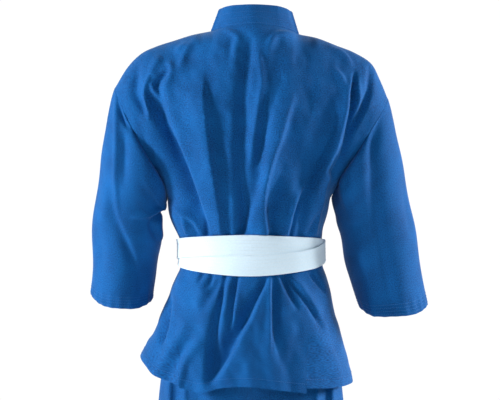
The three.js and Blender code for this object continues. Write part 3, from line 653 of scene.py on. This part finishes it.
def lapel_at(side):
    def point_at(u, v):
        width = u if side == "left" else 1 - u
        along, level = 1 - v, 2 * v
        off = LAYER["over_band"] - LAYER["over"] if side == "left" else LAYER["under_band"]
        hem_z = FRONT_HEM[side][-1]
        edge = read(FRONT_EDGE, level)["angle"] + mix(0.5, -1, smooth(along, 0.45, 0.6))
        flat = front_surface(side, edge + width * BAND_ANGLE, level, hem_z, off, 0)
        root = front_surface(side, edge, level, hem_z, off, 0)
        rise = collar_rise(HAND[side]) * width[..., None]
        upright = (1 - smooth(along, 0, 0.2))[..., None]
        return mix(flat, root + rise, upright)

    return point_at


make("collar", 110, 16, collar_at, BAND_WALL)
for side in HAND:
    make("lapel_" + side, 14, 220, lapel_at(side), BAND_WALL)

# %% [markdown]
# ## Sleeves
# Each sleeve starts on the armhole, the curve that the back and front end in, and runs down to a wide
# cuff. Its sections lean from the slanted armhole to the level cuff. Creases bunch at the underarm.

# %% Sleeve tubes
SLEEVES = table("""share left_out_x left_out_z left_in_x left_in_z
                right_out_x right_out_z right_in_x right_in_z depth y""", """
0 224 -96 137 -277 -225 -113 -132 -277 54 -5
0.08 231 -122 141 -286 -232 -138 -136 -291 60 -4
0.17 238 -155 149 -296 -239 -168 -139 -303 63 -4
0.3 246 -198 149 -310 -249 -212 -142 -318 63 -5
0.42 251 -236 147 -325 -257 -255 -147 -336 61 -7
0.55 256 -280 148 -345 -265 -302 -152 -360 59 -10
0.7 262 -335 155 -375 -274 -352 -159 -392 57 -13
0.85 263 -392 158 -409 -284 -403 -167 -421 55 -17
0.95 266 -426 161 -435 -291 -438 -175 -448 53 -20
0.985 266.5 -437 161.5 -444 -293.5 -450 -179 -459 52 -21
1 262 -442 164 -449 -294 -455 -182 -462 51 -21
""")
SLEEVE_CREASES = drawn("""
# left sleeve
196 -142 0 14 8, 176 -170 -8 20 9, 162 -205 -13 24 9, 153 -245 -13 24 9, 149 -285 -6 18 8, 148 -310 0 12 8
218 -111 -4 4 3, 219 -156 -4 5 4, 219 -214 -4 5 4, 219 -262 -3 5 4, 215 -315 0 4 4
214 -119 3 4 2.5, 211 -134 6 4 3, 205 -150 6 4 3, 193 -165 0 3 3
209 -126 -3 3 3, 200 -145 -8 4 5, 183 -158 -8 4 6, 164 -173 -8 5 7, 148 -192 -6 6 7, 138 -213 0 6 6
208 -161 0 5 6, 205 -189 4 6 8, 205 -222 4 6 8, 207 -265 0 6 8
233 -265 0 8 5, 218 -314 3 9 5, 202 -350 4 10 5, 190 -381 3 10 5, 184 -412 0 8 6
142 -287 -5 4 3, 151 -295 -6 5 3, 164 -303 -6 6 3, 181 -306 -4 6 3, 197 -306 0 5 3
150 -297 2 3 3, 159 -308 4 4 3, 162 -321 4 4 3, 158 -338 3 4 3, 150 -353 0 3 3
149 -302 -3 3 4, 153 -318 -6 4 5, 150 -338 -5 4 4, 147 -353 0 3 3
241 -243 0 8 8, 236 -287 -4 9 9, 241 -325 0 9 9
251 -320 0 8 9, 246 -361 3 9 9, 247 -414 0 8 9
172 -361 0 8 10, 178 -402 3 9 10, 181 -451 3 9 10
# right sleeve
-204 -129 0 3 10, -197 -161 5 4 14, -194 -197 6 6 16, -195 -238 6 8 18, -199 -279 5 9 18, -208 -336 4 10 18,
-218 -384 4 9 18, -228 -441 3 8 16
-198 -143 -5 5 4, -184 -165 -11 6 9, -167 -191 -14 7 16, -156 -221 -15 8 22, -156 -265 -11 9 22,
-166 -319 0 10 18
-203 -129 2 4 3, -190 -142 5 4 3, -174 -161 6 4 3, -156 -194 5 4 3, -148 -210 0 3 3
-165 -279 0 10 8, -178 -344 -3 12 9, -189 -401 -4 12 9, -202 -461 -3 12 9
-251 -230 0 8 10, -257 -296 3 9 10, -264 -361 0 8 10
""")
# on the hidden front of a sleeve, by degrees round it and millimetres down it
SLEEVE_FRONT_CREASES = drawn("""
70 -4 0 10 10, 100 -40 -7 12 10, 128 -84 0 8 8
36 -14 0 10 8, 66 -44 6 11 9, 96 -72 0 8 8
10 -30 0 14 14, 20 -110 5 16 16, 30 -190 0 16 16
150 -200 -6 8 5, 120 -218 -6 9 5, 90 -236 0 10 8
50 -200 0 14 14, 60 -270 -4 16 14, 70 -345 -3 14 14
""")
SLEEVE_LENGTH = 360
SLEEVE_RADIUS = 57
ARMHOLE_GAP = {"out": 0.7, "down": 0.4}


def armhole_point(side, degrees):
    hand = HAND[side]
    rise = 1 - np.abs(degrees) / 180
    return shoulder_point(hand * np.where(degrees >= 0, 89.9, 90.1), rise)


def sleeve_at(side):
    hand = HAND[side]

    def surface(degrees, share):
        degrees = np.mod(degrees + 180, 360) - 180
        row = read(SLEEVES, share)
        turn = np.radians(degrees)[..., None]
        out = np.stack([row[side + "_out_x"], row["y"], row[side + "_out_z"]], -1)
        inside = np.stack([row[side + "_in_x"], row["y"], row[side + "_in_z"]], -1)
        points = (out + inside) / 2 + (out - inside) / 2 * np.cos(turn)
        points[..., 1] += row["depth"] * np.sin(turn[..., 0])
        points[..., 2] -= smooth(share, 0.7, 1) * 12 * (1 - np.cos(turn[..., 0]) ** 4)
        seam = armhole_point(side, degrees) + np.array([hand * ARMHOLE_GAP["out"], 0, -ARMHOLE_GAP["down"]])
        return mix(seam, points, smooth(share, 0, 0.14)[..., None])

    def point_at(u, v):
        share = 1 - v
        degrees = -hand * (360 * u - 180)
        inner = np.clip(share, 0.01, 0.99)
        normal = outward(surface, degrees, inner, 0.004) * -hand
        turned = np.mod(degrees + 180, 360) - 180
        base = surface(degrees, share)
        height = crease_height(SLEEVE_CREASES, base[..., 0], base[..., 2]) * smooth(turned, 8, 35)
        height = height * (1 - smooth(turned, 165, 178))
        height = height + crease_height(SLEEVE_FRONT_CREASES, -turned, -SLEEVE_LENGTH * share)
        girth = np.radians(degrees) * SLEEVE_RADIUS
        round_x = SLEEVE_RADIUS * np.cos(girth / SLEEVE_RADIUS) + 3 * hand
        height = height + noise(round_x, -SLEEVE_LENGTH * share * 0.5, 12, 60) * 1.2
        puckers = np.cos(girth * 2 * np.pi / 17 + 2 * np.sin(girth / 40)) * smooth(share, 0.9, 0.97)
        height = (height + 0.5 * puckers) * smooth(share, 0.01, 0.09)
        return base + normal * height[..., None]

    return point_at


for side in HAND:
    make("sleeve_" + side, 150, 130, sleeve_at(side), closed=True)

# %% [markdown]
# ## Belt
# One strip runs twice round the waist. It starts under the knot, passes the left side as the outer turn,
# crosses the back high, goes round the front beneath the crossing, comes back low and ends on top at the
# right. Where the two turns change places at the centre back they lie edge to edge.

# %% Belt, knot and ends
BELT_TURNS = table("turn z off", """
0 -368 6.2
60 -365 6.2
90 -361 6.2
130 -353 6.2
180 -348.6 4.8
230 -355 3.5
270 -362 3.5
360 -368 3.5
430 -369 3.5
450 -370 3.5
490 -376 3.5
540 -382.8 4.8
590 -374.5 6.2
630 -363.5 6.2
670 -366 6.2
720 -368 6.2
""")
BELT_CUT = 7
BELT_FRONT_OFF = 9.5
KNOT = {"x": -8, "z": -368, "width": 46, "height": 40, "depth": 20}


def belt_at(u, v):
    turn = mix(720 - BELT_CUT, BELT_CUT, u)
    row = read(BELT_TURNS, turn)
    degrees = 180 - turn
    from_front = np.abs(np.mod(turn + 180, 360) - 180)
    crossed = 1 - smooth(from_front, 56, 86)
    z = row["z"] + (v - 0.5) * BELT_WIDTH
    off = row["off"] + crossed * BELT_FRONT_OFF + 0.15 * noise(turn, v * 20, 21, 60)
    return ring_point(degrees, z) + outward(ring_point, degrees, z, 1) * off[..., None]


make("belt", 420, 10, belt_at, BELT_WALL)
belt_face = float(belt_at(np.array([[0.0]]), np.array([[0.5]]))[0, 0, 1])


def knot_at(u, v):
    """A rounded body with three strands of the strip passing over it on the slant."""
    turn = 2 * np.pi * u
    bulge = np.sqrt(np.sin(np.pi * np.clip(v, 0.1, 0.9)))
    x = KNOT["x"] + (v - 0.5) * KNOT["width"]
    slant = np.cos(3 * turn + (v - 0.5) * 5)
    swell = 1 + 0.06 * slant - 0.17 * np.exp(-((slant + 1) ** 2) / 0.06)
    y = belt_face - KNOT["depth"] / 2 + 1 - KNOT["depth"] / 2 * bulge * swell * np.cos(turn)
    z = KNOT["z"] + KNOT["height"] / 2 * bulge * swell * np.sin(turn)
    return np.stack([x, y, z], -1)


def end_at(lean, length, start, off):
    def point_at(u, v):
        along, width = 1 - v, (0.5 - u) * BELT_WIDTH
        angle = math.radians(lean)
        x = KNOT["x"] + start + math.sin(angle) * along * length + width * math.cos(angle)
        z = KNOT["z"] - KNOT["height"] / 2 - 1 - math.cos(angle) * along * length + width * math.sin(angle)
        y = belt_face - off - 16 * smooth(along, 0, 0.8) - 5 * np.sin(np.pi * along)
        cup = 1.2 * np.cos(np.pi * (u - 0.5)) * np.sin(np.pi * along)
        return np.stack([x, y - cup, z], -1)

    return point_at


make("belt_knot", 72, 36, knot_at, 4, closed=True)
make("belt_end_left", 10, 70, end_at(20, 235, 8, 3.4), BELT_WALL)
make("belt_end_right", 10, 70, end_at(-16, 228, -8, 6.6), BELT_WALL)

# %% [markdown]
# ## Trousers
# Four panels make the trousers. Above the crotch each turns a quarter of the way round the hips, and below
# it half-way round a leg, so every strand blends from one to the other. The legs hang straight and wide.

# %% Trouser panels and waistband
TROUSER_WAIST_Z = -394
WAISTBAND_HEIGHT = 34
TROUSER_TOP_Z = TROUSER_WAIST_Z - WAISTBAND_HEIGHT / 2
CROTCH_Z = -655
TROUSER_HEM_Z = -1112
TROUSERS = table("z out in back front", """
-1115 152 30 58 56
-1000 154 24 64 62
-850 155 14 72 70
-740 155 6 80 78
-655 155 0.03 88 84
-600 152 0.03 92 88
-540 143 0.03 92 90
-480 126 0.03 86 86
-430 115 0.03 80 82
-390 109.3 0.03 77 80
""")
# by the distance from the middle and the height, the same on both legs
TROUSER_CREASES = drawn("""
135 -500 0 5 5, 134 -590 5 6 5, 134 -800 4 6 6, 132 -1112 4 7 6
121 -500 0 6 6, 121 -590 -5 7 7, 121 -800 -4 7 7, 119 -1112 -5 8 8
109 -500 0 5 5, 108 -590 5 6 5, 106 -800 4 7 6, 104 -1112 4 8 7
88 -520 0 10 10, 84 -640 -4 12 12, 80 -850 -5 12 12, 78 -1112 -5 14 14
60 -700 0 10 10, 58 -850 4 12 12, 54 -1112 4 14 14
6 -662 0 8 6, 34 -700 6 10 8, 72 -742 0 10 10
6 -680 0 8 6, 40 -760 -6 10 10, 82 -840 0 10 10
140 -820 0 6 6, 110 -840 -4 8 6, 80 -846 0 8 8
50 -930 0 8 6, 80 -950 4 8 6, 112 -944 0 8 8
""")


def trouser_at(facing, hand):
    def point_at(u, v):
        u = 1 - u if facing * hand > 0 else u
        z = mix(TROUSER_HEM_Z, TROUSER_TOP_Z, v)
        row = read(TROUSERS, z)
        depth = row["back"] if facing > 0 else row["front"]
        leg = 1 - smooth(z, CROTCH_Z, CROTCH_Z + 100)
        rise = np.clip((z - CROTCH_Z) / 95, 0, 1)
        centre = depth * np.sqrt(np.maximum(1 - (1 - rise) ** 2, 0))
        first_y = depth * mix(0.6, 1.3, leg)
        second_x = mix(row["out"] * 0.5, row["in"], leg)
        second_y = np.maximum(depth * mix(1, 1.3, leg), centre)
        a, b, c, d = (1 - u) ** 3, 3 * (1 - u) ** 2 * u, 3 * (1 - u) * u**2, u**3
        x = (a + b) * row["out"] + c * second_x + d * row["in"]
        y = b * first_y + c * second_y + d * centre
        free = smooth(z, -480, -560) * smooth(u, 0, 0.08) * (1 - smooth(u, 0.9, 1))
        height = crease_height(TROUSER_CREASES, x, z) + noise(x, z * 0.35, 30 + facing, 60) * 1.6
        y = y + height * np.where(free > 0, free, 0)
        return np.stack([x * hand, (y + 0.02) * facing, z], -1)

    return point_at


def waistband_at(u, v):
    turn = np.radians(360 * u - 180)
    row = read(TROUSERS, TROUSER_TOP_Z)
    depth = np.where(np.cos(turn) > 0, row["back"], row["front"]) + 2
    gather = 0.25 * np.sin(turn * 90)
    z = TROUSER_TOP_Z + WAISTBAND_HEIGHT * v
    return np.stack([(row["out"] + 2 + gather) * np.sin(turn), (depth + gather) * np.cos(turn), z], -1)


for facing, where in ((1, "back"), (-1, "front")):
    for side, hand in HAND.items():
        make(f"trouser_{where}_{side}", 64, 150, trouser_at(facing, hand))
make("waistband", 360, 8, waistband_at, closed=True)

# %% [markdown]
# ## Cloth
# The jacket and trousers are a plain weave of polyester and cotton: a matt blue with a faint sheen, a
# little uneven in tone. One node group makes the weave from the UV map, so the threads follow each piece.
# The blue cloth and the white belt place it with their own counts; the threads have a fine mottle of their
# own.


# %% Nodes
def socket(group, name, kind, way, value=None):
    made = group.interface.new_socket(name=name, in_out=way, socket_type="NodeSocket" + kind)
    if value is not None:
        made.default_value = value


def node(tree, kind, inputs=None, **settings):
    """A new node with its settings; each of its inputs is given a value, or linked to a socket."""
    made = tree.nodes.new(kind)
    for key, value in settings.items():
        setattr(made, key, value)
    for key, value in (inputs or {}).items():
        if isinstance(value, bpy.types.NodeSocket):
            tree.links.new(value, made.inputs[key])
        else:
            made.inputs[key].default_value = value
    return made


def tone_between(tree, dark, light, factor):
    inputs = {"A": (*dark, 1), "B": (*light, 1), "Factor": factor}
    return node(tree, "ShaderNodeMix", inputs, data_type="RGBA").outputs["Result"]


def new_material(name, values):
    """A material whose shader has these values, and that shader."""
    made = bpy.data.materials.new(name)
    made.use_nodes = True
    shader = made.node_tree.nodes["Principled BSDF"]
    for key, value in values.items():
        shader.inputs[key].default_value = value
    return made, shader


# %% Weave group
def weave_group():
    """Height of a plain weave, and a mottling of slow tones and fine slubs, from a UV map in metres."""
    g = bpy.data.node_groups.new("plain_weave", "ShaderNodeTree")
    socket(g, "Thread UV", "Vector", "INPUT")
    for name, value in (("Threads per metre", 1800.0), ("Mottle scale", 18.0), ("Slub scale", 500.0)):
        socket(g, name, "Float", "INPUT", value)
    socket(g, "Height", "Float", "OUTPUT")
    socket(g, "Mottle", "Float", "OUTPUT")
    ins = node(g, "NodeGroupInput").outputs
    inputs = {0: ins["Thread UV"], "Scale": ins["Threads per metre"]}
    scaled = node(g, "ShaderNodeVectorMath", inputs, operation="SCALE")
    split = node(g, "ShaderNodeSeparateXYZ", {0: scaled.outputs[0]})
    waves = []
    for axis in ("X", "Y"):
        turn = node(g, "ShaderNodeMath", {0: split.outputs[axis], 1: math.pi}, operation="MULTIPLY")
        waves.append(node(g, "ShaderNodeMath", {0: turn.outputs[0]}, operation="SINE").outputs[0])
    height = node(g, "ShaderNodeMath", {0: waves[0], 1: waves[1]}, operation="MULTIPLY")
    slow, fine = (
        node(g, "ShaderNodeTexNoise", {"Detail": detail, "Vector": ins["Thread UV"], "Scale": ins[name]})
        for name, detail in (("Mottle scale", 4), ("Slub scale", 1))
    )
    share = node(g, "ShaderNodeMix", {"Factor": 0.68, "A": slow.outputs["Fac"], "B": fine.outputs["Fac"]})
    inputs = {"From Min": 0.32, "From Max": 0.68, "Value": share.outputs["Result"]}
    spread = node(g, "ShaderNodeMapRange", inputs)
    node(g, "NodeGroupOutput", {"Height": height.outputs[0], "Mottle": spread.outputs["Result"]})
    return g


# %% Cloth materials
WEAVE = weave_group()
WEAVE_RELIEF = 0.0003


def cloth_material(name, dark, light, threads, mottle, slub, bump, roughness, sheen, sheen_tint):
    made, shader = new_material(name, {
        "Roughness": roughness, "Sheen Weight": sheen, "Sheen Roughness": 0.45,
        "Sheen Tint": (*sheen_tint, 1), "Specular IOR Level": 0.12,
    })
    tree = made.node_tree
    uv = node(tree, "ShaderNodeUVMap", uv_map="threads")
    weave = node(tree, "ShaderNodeGroup", {
        "Thread UV": uv.outputs[0], "Threads per metre": threads, "Mottle scale": mottle, "Slub scale": slub,
    }, node_tree=WEAVE).outputs
    inputs = {"Strength": bump, "Distance": WEAVE_RELIEF, "Height": weave["Height"]}
    relief = node(tree, "ShaderNodeBump", inputs)
    tree.links.new(tone_between(tree, dark, light, weave["Mottle"]), shader.inputs["Base Color"])
    tree.links.new(relief.outputs[0], shader.inputs["Normal"])
    return made


blue_cloth = cloth_material("blue_cloth", (0.0005, 0.038, 0.155), (0.0013, 0.117, 0.39),
                            1900, 22, 520, 0.3, 0.75, 0.14, (0.5, 0.75, 1.0))
blue_cloth.diffuse_color = (0.01, 0.13, 0.43, 1)
white_belt = cloth_material("white_belt", (0.6, 0.76, 0.87), (0.65, 0.8, 0.91),
                            1100, 30, 300, 0.5, 0.8, 0.15, (1.0, 1.0, 1.0))
BELT_NAMES = ("belt", "belt_knot", "belt_end_left", "belt_end_right")
for name, piece in pieces.items():
    piece.data.materials.append(white_belt if name in BELT_NAMES else blue_cloth)
print("materials:", len(bpy.data.materials))

# %% [markdown]
# ## Sewing
# Rows of stitches hold the hems, the cuffs and the bands. Real stitches repeat every few millimetres along
# a line on the cloth, so Geometry Nodes place one short rounded thread at even steps along each line.


# %% One row of stitches
def stitch_tree(material):
    g = bpy.data.node_groups.new("stitch_row", "GeometryNodeTree")
    socket(g, "Lines", "Geometry", "INPUT")
    for name, value in (("Step", 0.0032), ("Length", 0.0024), ("Thickness", 0.0006)):
        socket(g, name, "Float", "INPUT", value)
    socket(g, "Stitches", "Geometry", "OUTPUT")
    ins = node(g, "NodeGroupInput").outputs
    curve = node(g, "GeometryNodeMeshToCurve", {0: ins["Lines"]})
    inputs = {"Curve": curve.outputs[0], "Length": ins["Step"]}
    even = node(g, "GeometryNodeResampleCurve", inputs, mode="LENGTH")
    points = node(g, "GeometryNodeCurveToPoints", {"Curve": even.outputs[0]}, mode="EVALUATED").outputs
    thread = node(g, "GeometryNodeMeshIcoSphere", {"Radius": 0.5, "Subdivisions": 1})
    size = node(g, "ShaderNodeCombineXYZ", {"X": ins["Thickness"], "Y": ins["Thickness"], "Z": ins["Length"]})
    place = node(g, "GeometryNodeInstanceOnPoints", {
        "Points": points["Points"], "Rotation": points["Rotation"],
        "Instance": thread.outputs["Mesh"], "Scale": size.outputs[0],
    })
    real = node(g, "GeometryNodeRealizeInstances", {0: place.outputs[0]})
    finish = node(g, "GeometryNodeSetMaterial", {"Geometry": real.outputs[0], "Material": material})
    node(g, "NodeGroupOutput", {"Stitches": finish.outputs[0]})
    return g


def thread_material(name, color):
    made, shader = new_material(name, {"Roughness": 0.5})
    tree = made.node_tree
    place = node(tree, "ShaderNodeTexCoord")
    twist = node(tree, "ShaderNodeTexNoise", {"Scale": 900, "Vector": place.outputs["Object"]})
    tone = tone_between(tree, [c * 0.75 for c in color], color, twist.outputs["Fac"])
    tree.links.new(tone, shader.inputs["Base Color"])
    return made


def sew(name, lines, material, step=3.2, length=2.4, thickness=0.6):
    """Stitches along lines of points in metres, turned into one plain mesh."""
    edges, start = [], 0
    for line in lines:
        edges += [(start + k, start + k + 1) for k in range(len(line) - 1)]
        start += len(line)
    path = mesh_object(name + "_path", np.concatenate(lines).tolist(), edges, [])
    tree = stitch_tree(material)
    modifier = path.modifiers.new("stitches", "NODES")
    modifier.node_group = tree
    named = {item.name: item.identifier for item in tree.interface.items_tree if item.in_out == "INPUT"}
    for key, value in (("Step", step), ("Length", length), ("Thickness", thickness)):
        modifier[named[key]] = value * MM
    evaluated = path.evaluated_get(bpy.context.evaluated_depsgraph_get())
    made = add_object(name, bpy.data.meshes.new_from_object(evaluated))
    bpy.data.objects.remove(path)
    shade_smooth(made.data)
    print(f"{name}: {len(made.data.polygons)} faces")
    return made


# %% Rows on the cloth
LIFT = 0.25  # of a stitch off the cloth


def line_at(points, fraction):
    at = fraction * (len(points) - 1)
    low = int(at)
    return mix(points[low], points[min(low + 1, len(points) - 1)], at - low) * MM


def lifted(name, closed=False):
    return grids[name] + smooth_normals(grids[name], closed) * LIFT


def row_line(name, fraction, closed=False):
    """The line across a piece's outer face at a fraction of its rows, lifted off the cloth."""
    line = line_at(lifted(name, closed), fraction)
    return np.vstack([line, line[:1]]) if closed else line


def column_line(name, fraction):
    return line_at(lifted(name).swapaxes(0, 1), fraction)


blue_thread = thread_material("blue_thread", (0.016, 0.15, 0.46))
white_thread = thread_material("white_thread", (0.8, 0.88, 0.93))
# where the rows lie, as shares of a piece's height or width
HEM_ROW = 14 / 590
TROUSER_HEM_ROW = 22 / 700
CUFF_ROWS = (0.015, 0.03, 0.045, 0.06)
BAND_ROWS = (0.08, 0.36, 0.64, 0.92)
BELT_ROWS = (0.06, 0.24, 0.41, 0.59, 0.76, 0.94)
jacket_lines = [row_line(name, HEM_ROW) for name in ("back", "front_left", "front_right")]
for side in HAND:
    jacket_lines += [row_line("sleeve_" + side, f, closed=True) for f in CUFF_ROWS]
    jacket_lines += [column_line("lapel_" + side, f) for f in BAND_ROWS]
jacket_lines += [row_line("collar", f) for f in BAND_ROWS]
belt_lines = [row_line("belt", f) for f in BELT_ROWS]
for name in ("belt_end_left", "belt_end_right"):
    belt_lines += [column_line(name, f) for f in BELT_ROWS]
trouser_lines = [row_line(name, TROUSER_HEM_ROW) for name in pieces if name.startswith("trouser")]
SEWN = {
    "stitches_jacket": (jacket_lines, blue_thread),
    "stitches_belt": (belt_lines, white_thread, 4.0, 3.0, 0.55),
    "stitches_trousers": (trouser_lines, blue_thread),
}
stitches = {name: sew(name, *values) for name, values in SEWN.items()}

# %% [markdown]
# ## What each piece stands for
# Every piece rides on the one body and takes the place of its solid. A table lists the size each was cut to
# before it was sewn and how it is held, which the loop reads but does not use.

# %% Riding, replacing and cut sizes
# flat width and length of each cut, how it is held, and its area where that isn't a rectangle's
CUTS = {
    "back": (0.47, 0.6, "hung", 0.21),
    "front_left": (0.46, 0.6, "hung", 0.135),
    "front_right": (0.44, 0.6, "hung", 0.135),
    "collar": (0.042, 0.17, "hung"),
    "sleeve_left": (0.36, 0.3, "hung"),
    "sleeve_right": (0.36, 0.31, "hung"),
    "belt": (0.034, 1.42, "stretched"),
    "belt_end_left": (0.034, 0.235, "hung"),
    "belt_end_right": (0.034, 0.228, "hung"),
    "waistband": (0.034, 0.62, "gathered"),
}
CUTS |= {"lapel_" + side: (0.042, 0.65, "hung") for side in HAND}
CUTS |= {name: (0.26, 0.7, "hung", 0.15) for name in pieces if name.startswith("trouser")}
for name, piece in pieces.items():
    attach(piece, "root")
    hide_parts(name)
    if name in CUTS:
        width, length, held, *area = CUTS[name]
for name, piece in stitches.items():
    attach(piece, "root")

# %% [markdown]
# ## Studio and camera
# The photograph is a cut-out on white, taken level with the upper back from about three metres. A round
# pale floor and a white world give that ground from every side. The world lights the cloth only faintly,
# and large soft lights do the rest: one stands where the white wall of a studio would be, and two rake
# across the back from the sides, which keeps the creases readable.

# %% Floor, lights and camera
FLOOR_Z = -1.13
FLOOR_RADIUS = 2.4
WORLD_LIGHT = 0.19
WORLD_SEEN = 1.02


def round_floor():
    turns = np.linspace(0, 2 * math.pi, 97)[:-1]
    points = [(FLOOR_RADIUS * math.cos(a), FLOOR_RADIUS * math.sin(a), FLOOR_Z) for a in turns]
    floor = mesh_object("floor", points, [], [tuple(range(len(points)))])
    pale = new_material("pale_floor", {"Base Color": (0.9, 0.9, 0.9, 1), "Roughness": 0.9})[0]
    floor.data.materials.append(pale)
    return floor


def aim(made, place, target):
    made.location = place
    made.rotation_euler = (Vector(target) - Vector(place)).to_track_quat("-Z", "Y").to_euler()


def soft_light(name, place, target, size, power):
    light = bpy.data.lights.new(name, "AREA")
    light.shape, light.size, light.energy = "SQUARE", size, power
    made = add_object(name, light)
    made.visible_camera = False
    aim(made, place, target)


def white_world():
    """White to the eye, and a faint even light on the cloth."""
    world = bpy.data.worlds.new("studio")
    world.use_nodes = True
    tree = world.node_tree
    seen = node(tree, "ShaderNodeLightPath").outputs["Is Camera Ray"]
    inputs = {0: seen, 1: WORLD_SEEN - WORLD_LIGHT, 2: WORLD_LIGHT}
    strength = node(tree, "ShaderNodeMath", inputs, operation="MULTIPLY_ADD")
    background = tree.nodes["Background"].inputs
    background["Color"].default_value = (1, 1, 1, 1)
    tree.links.new(strength.outputs[0], background["Strength"])
    return world


round_floor()
bpy.context.scene.world = white_world()
soft_light("key", (3.0, 0.9, 0.4), (0, 0, -0.36), 0.6, 160)
soft_light("side", (-2.9, -0.3, 0.4), (0, 0, -0.36), 0.6, 124)
soft_light("fill", (-0.9, 2.6, 0.9), (0, 0, -0.45), 1.0, 18)
soft_light("wall", (0, -3.3, 0.6), (0, 0, 0.4), 5.0, 85)
bpy.context.scene.view_settings.view_transform = "Standard"

camera_data = bpy.data.cameras.new("camera")
camera_data.lens, camera_data.sensor_width = 131.1, 36
camera = add_object("camera", camera_data)
aim(camera, (0.0, 3.0, -0.132), (0.0016, 0.0, -0.2805))
bpy.context.scene.camera = camera
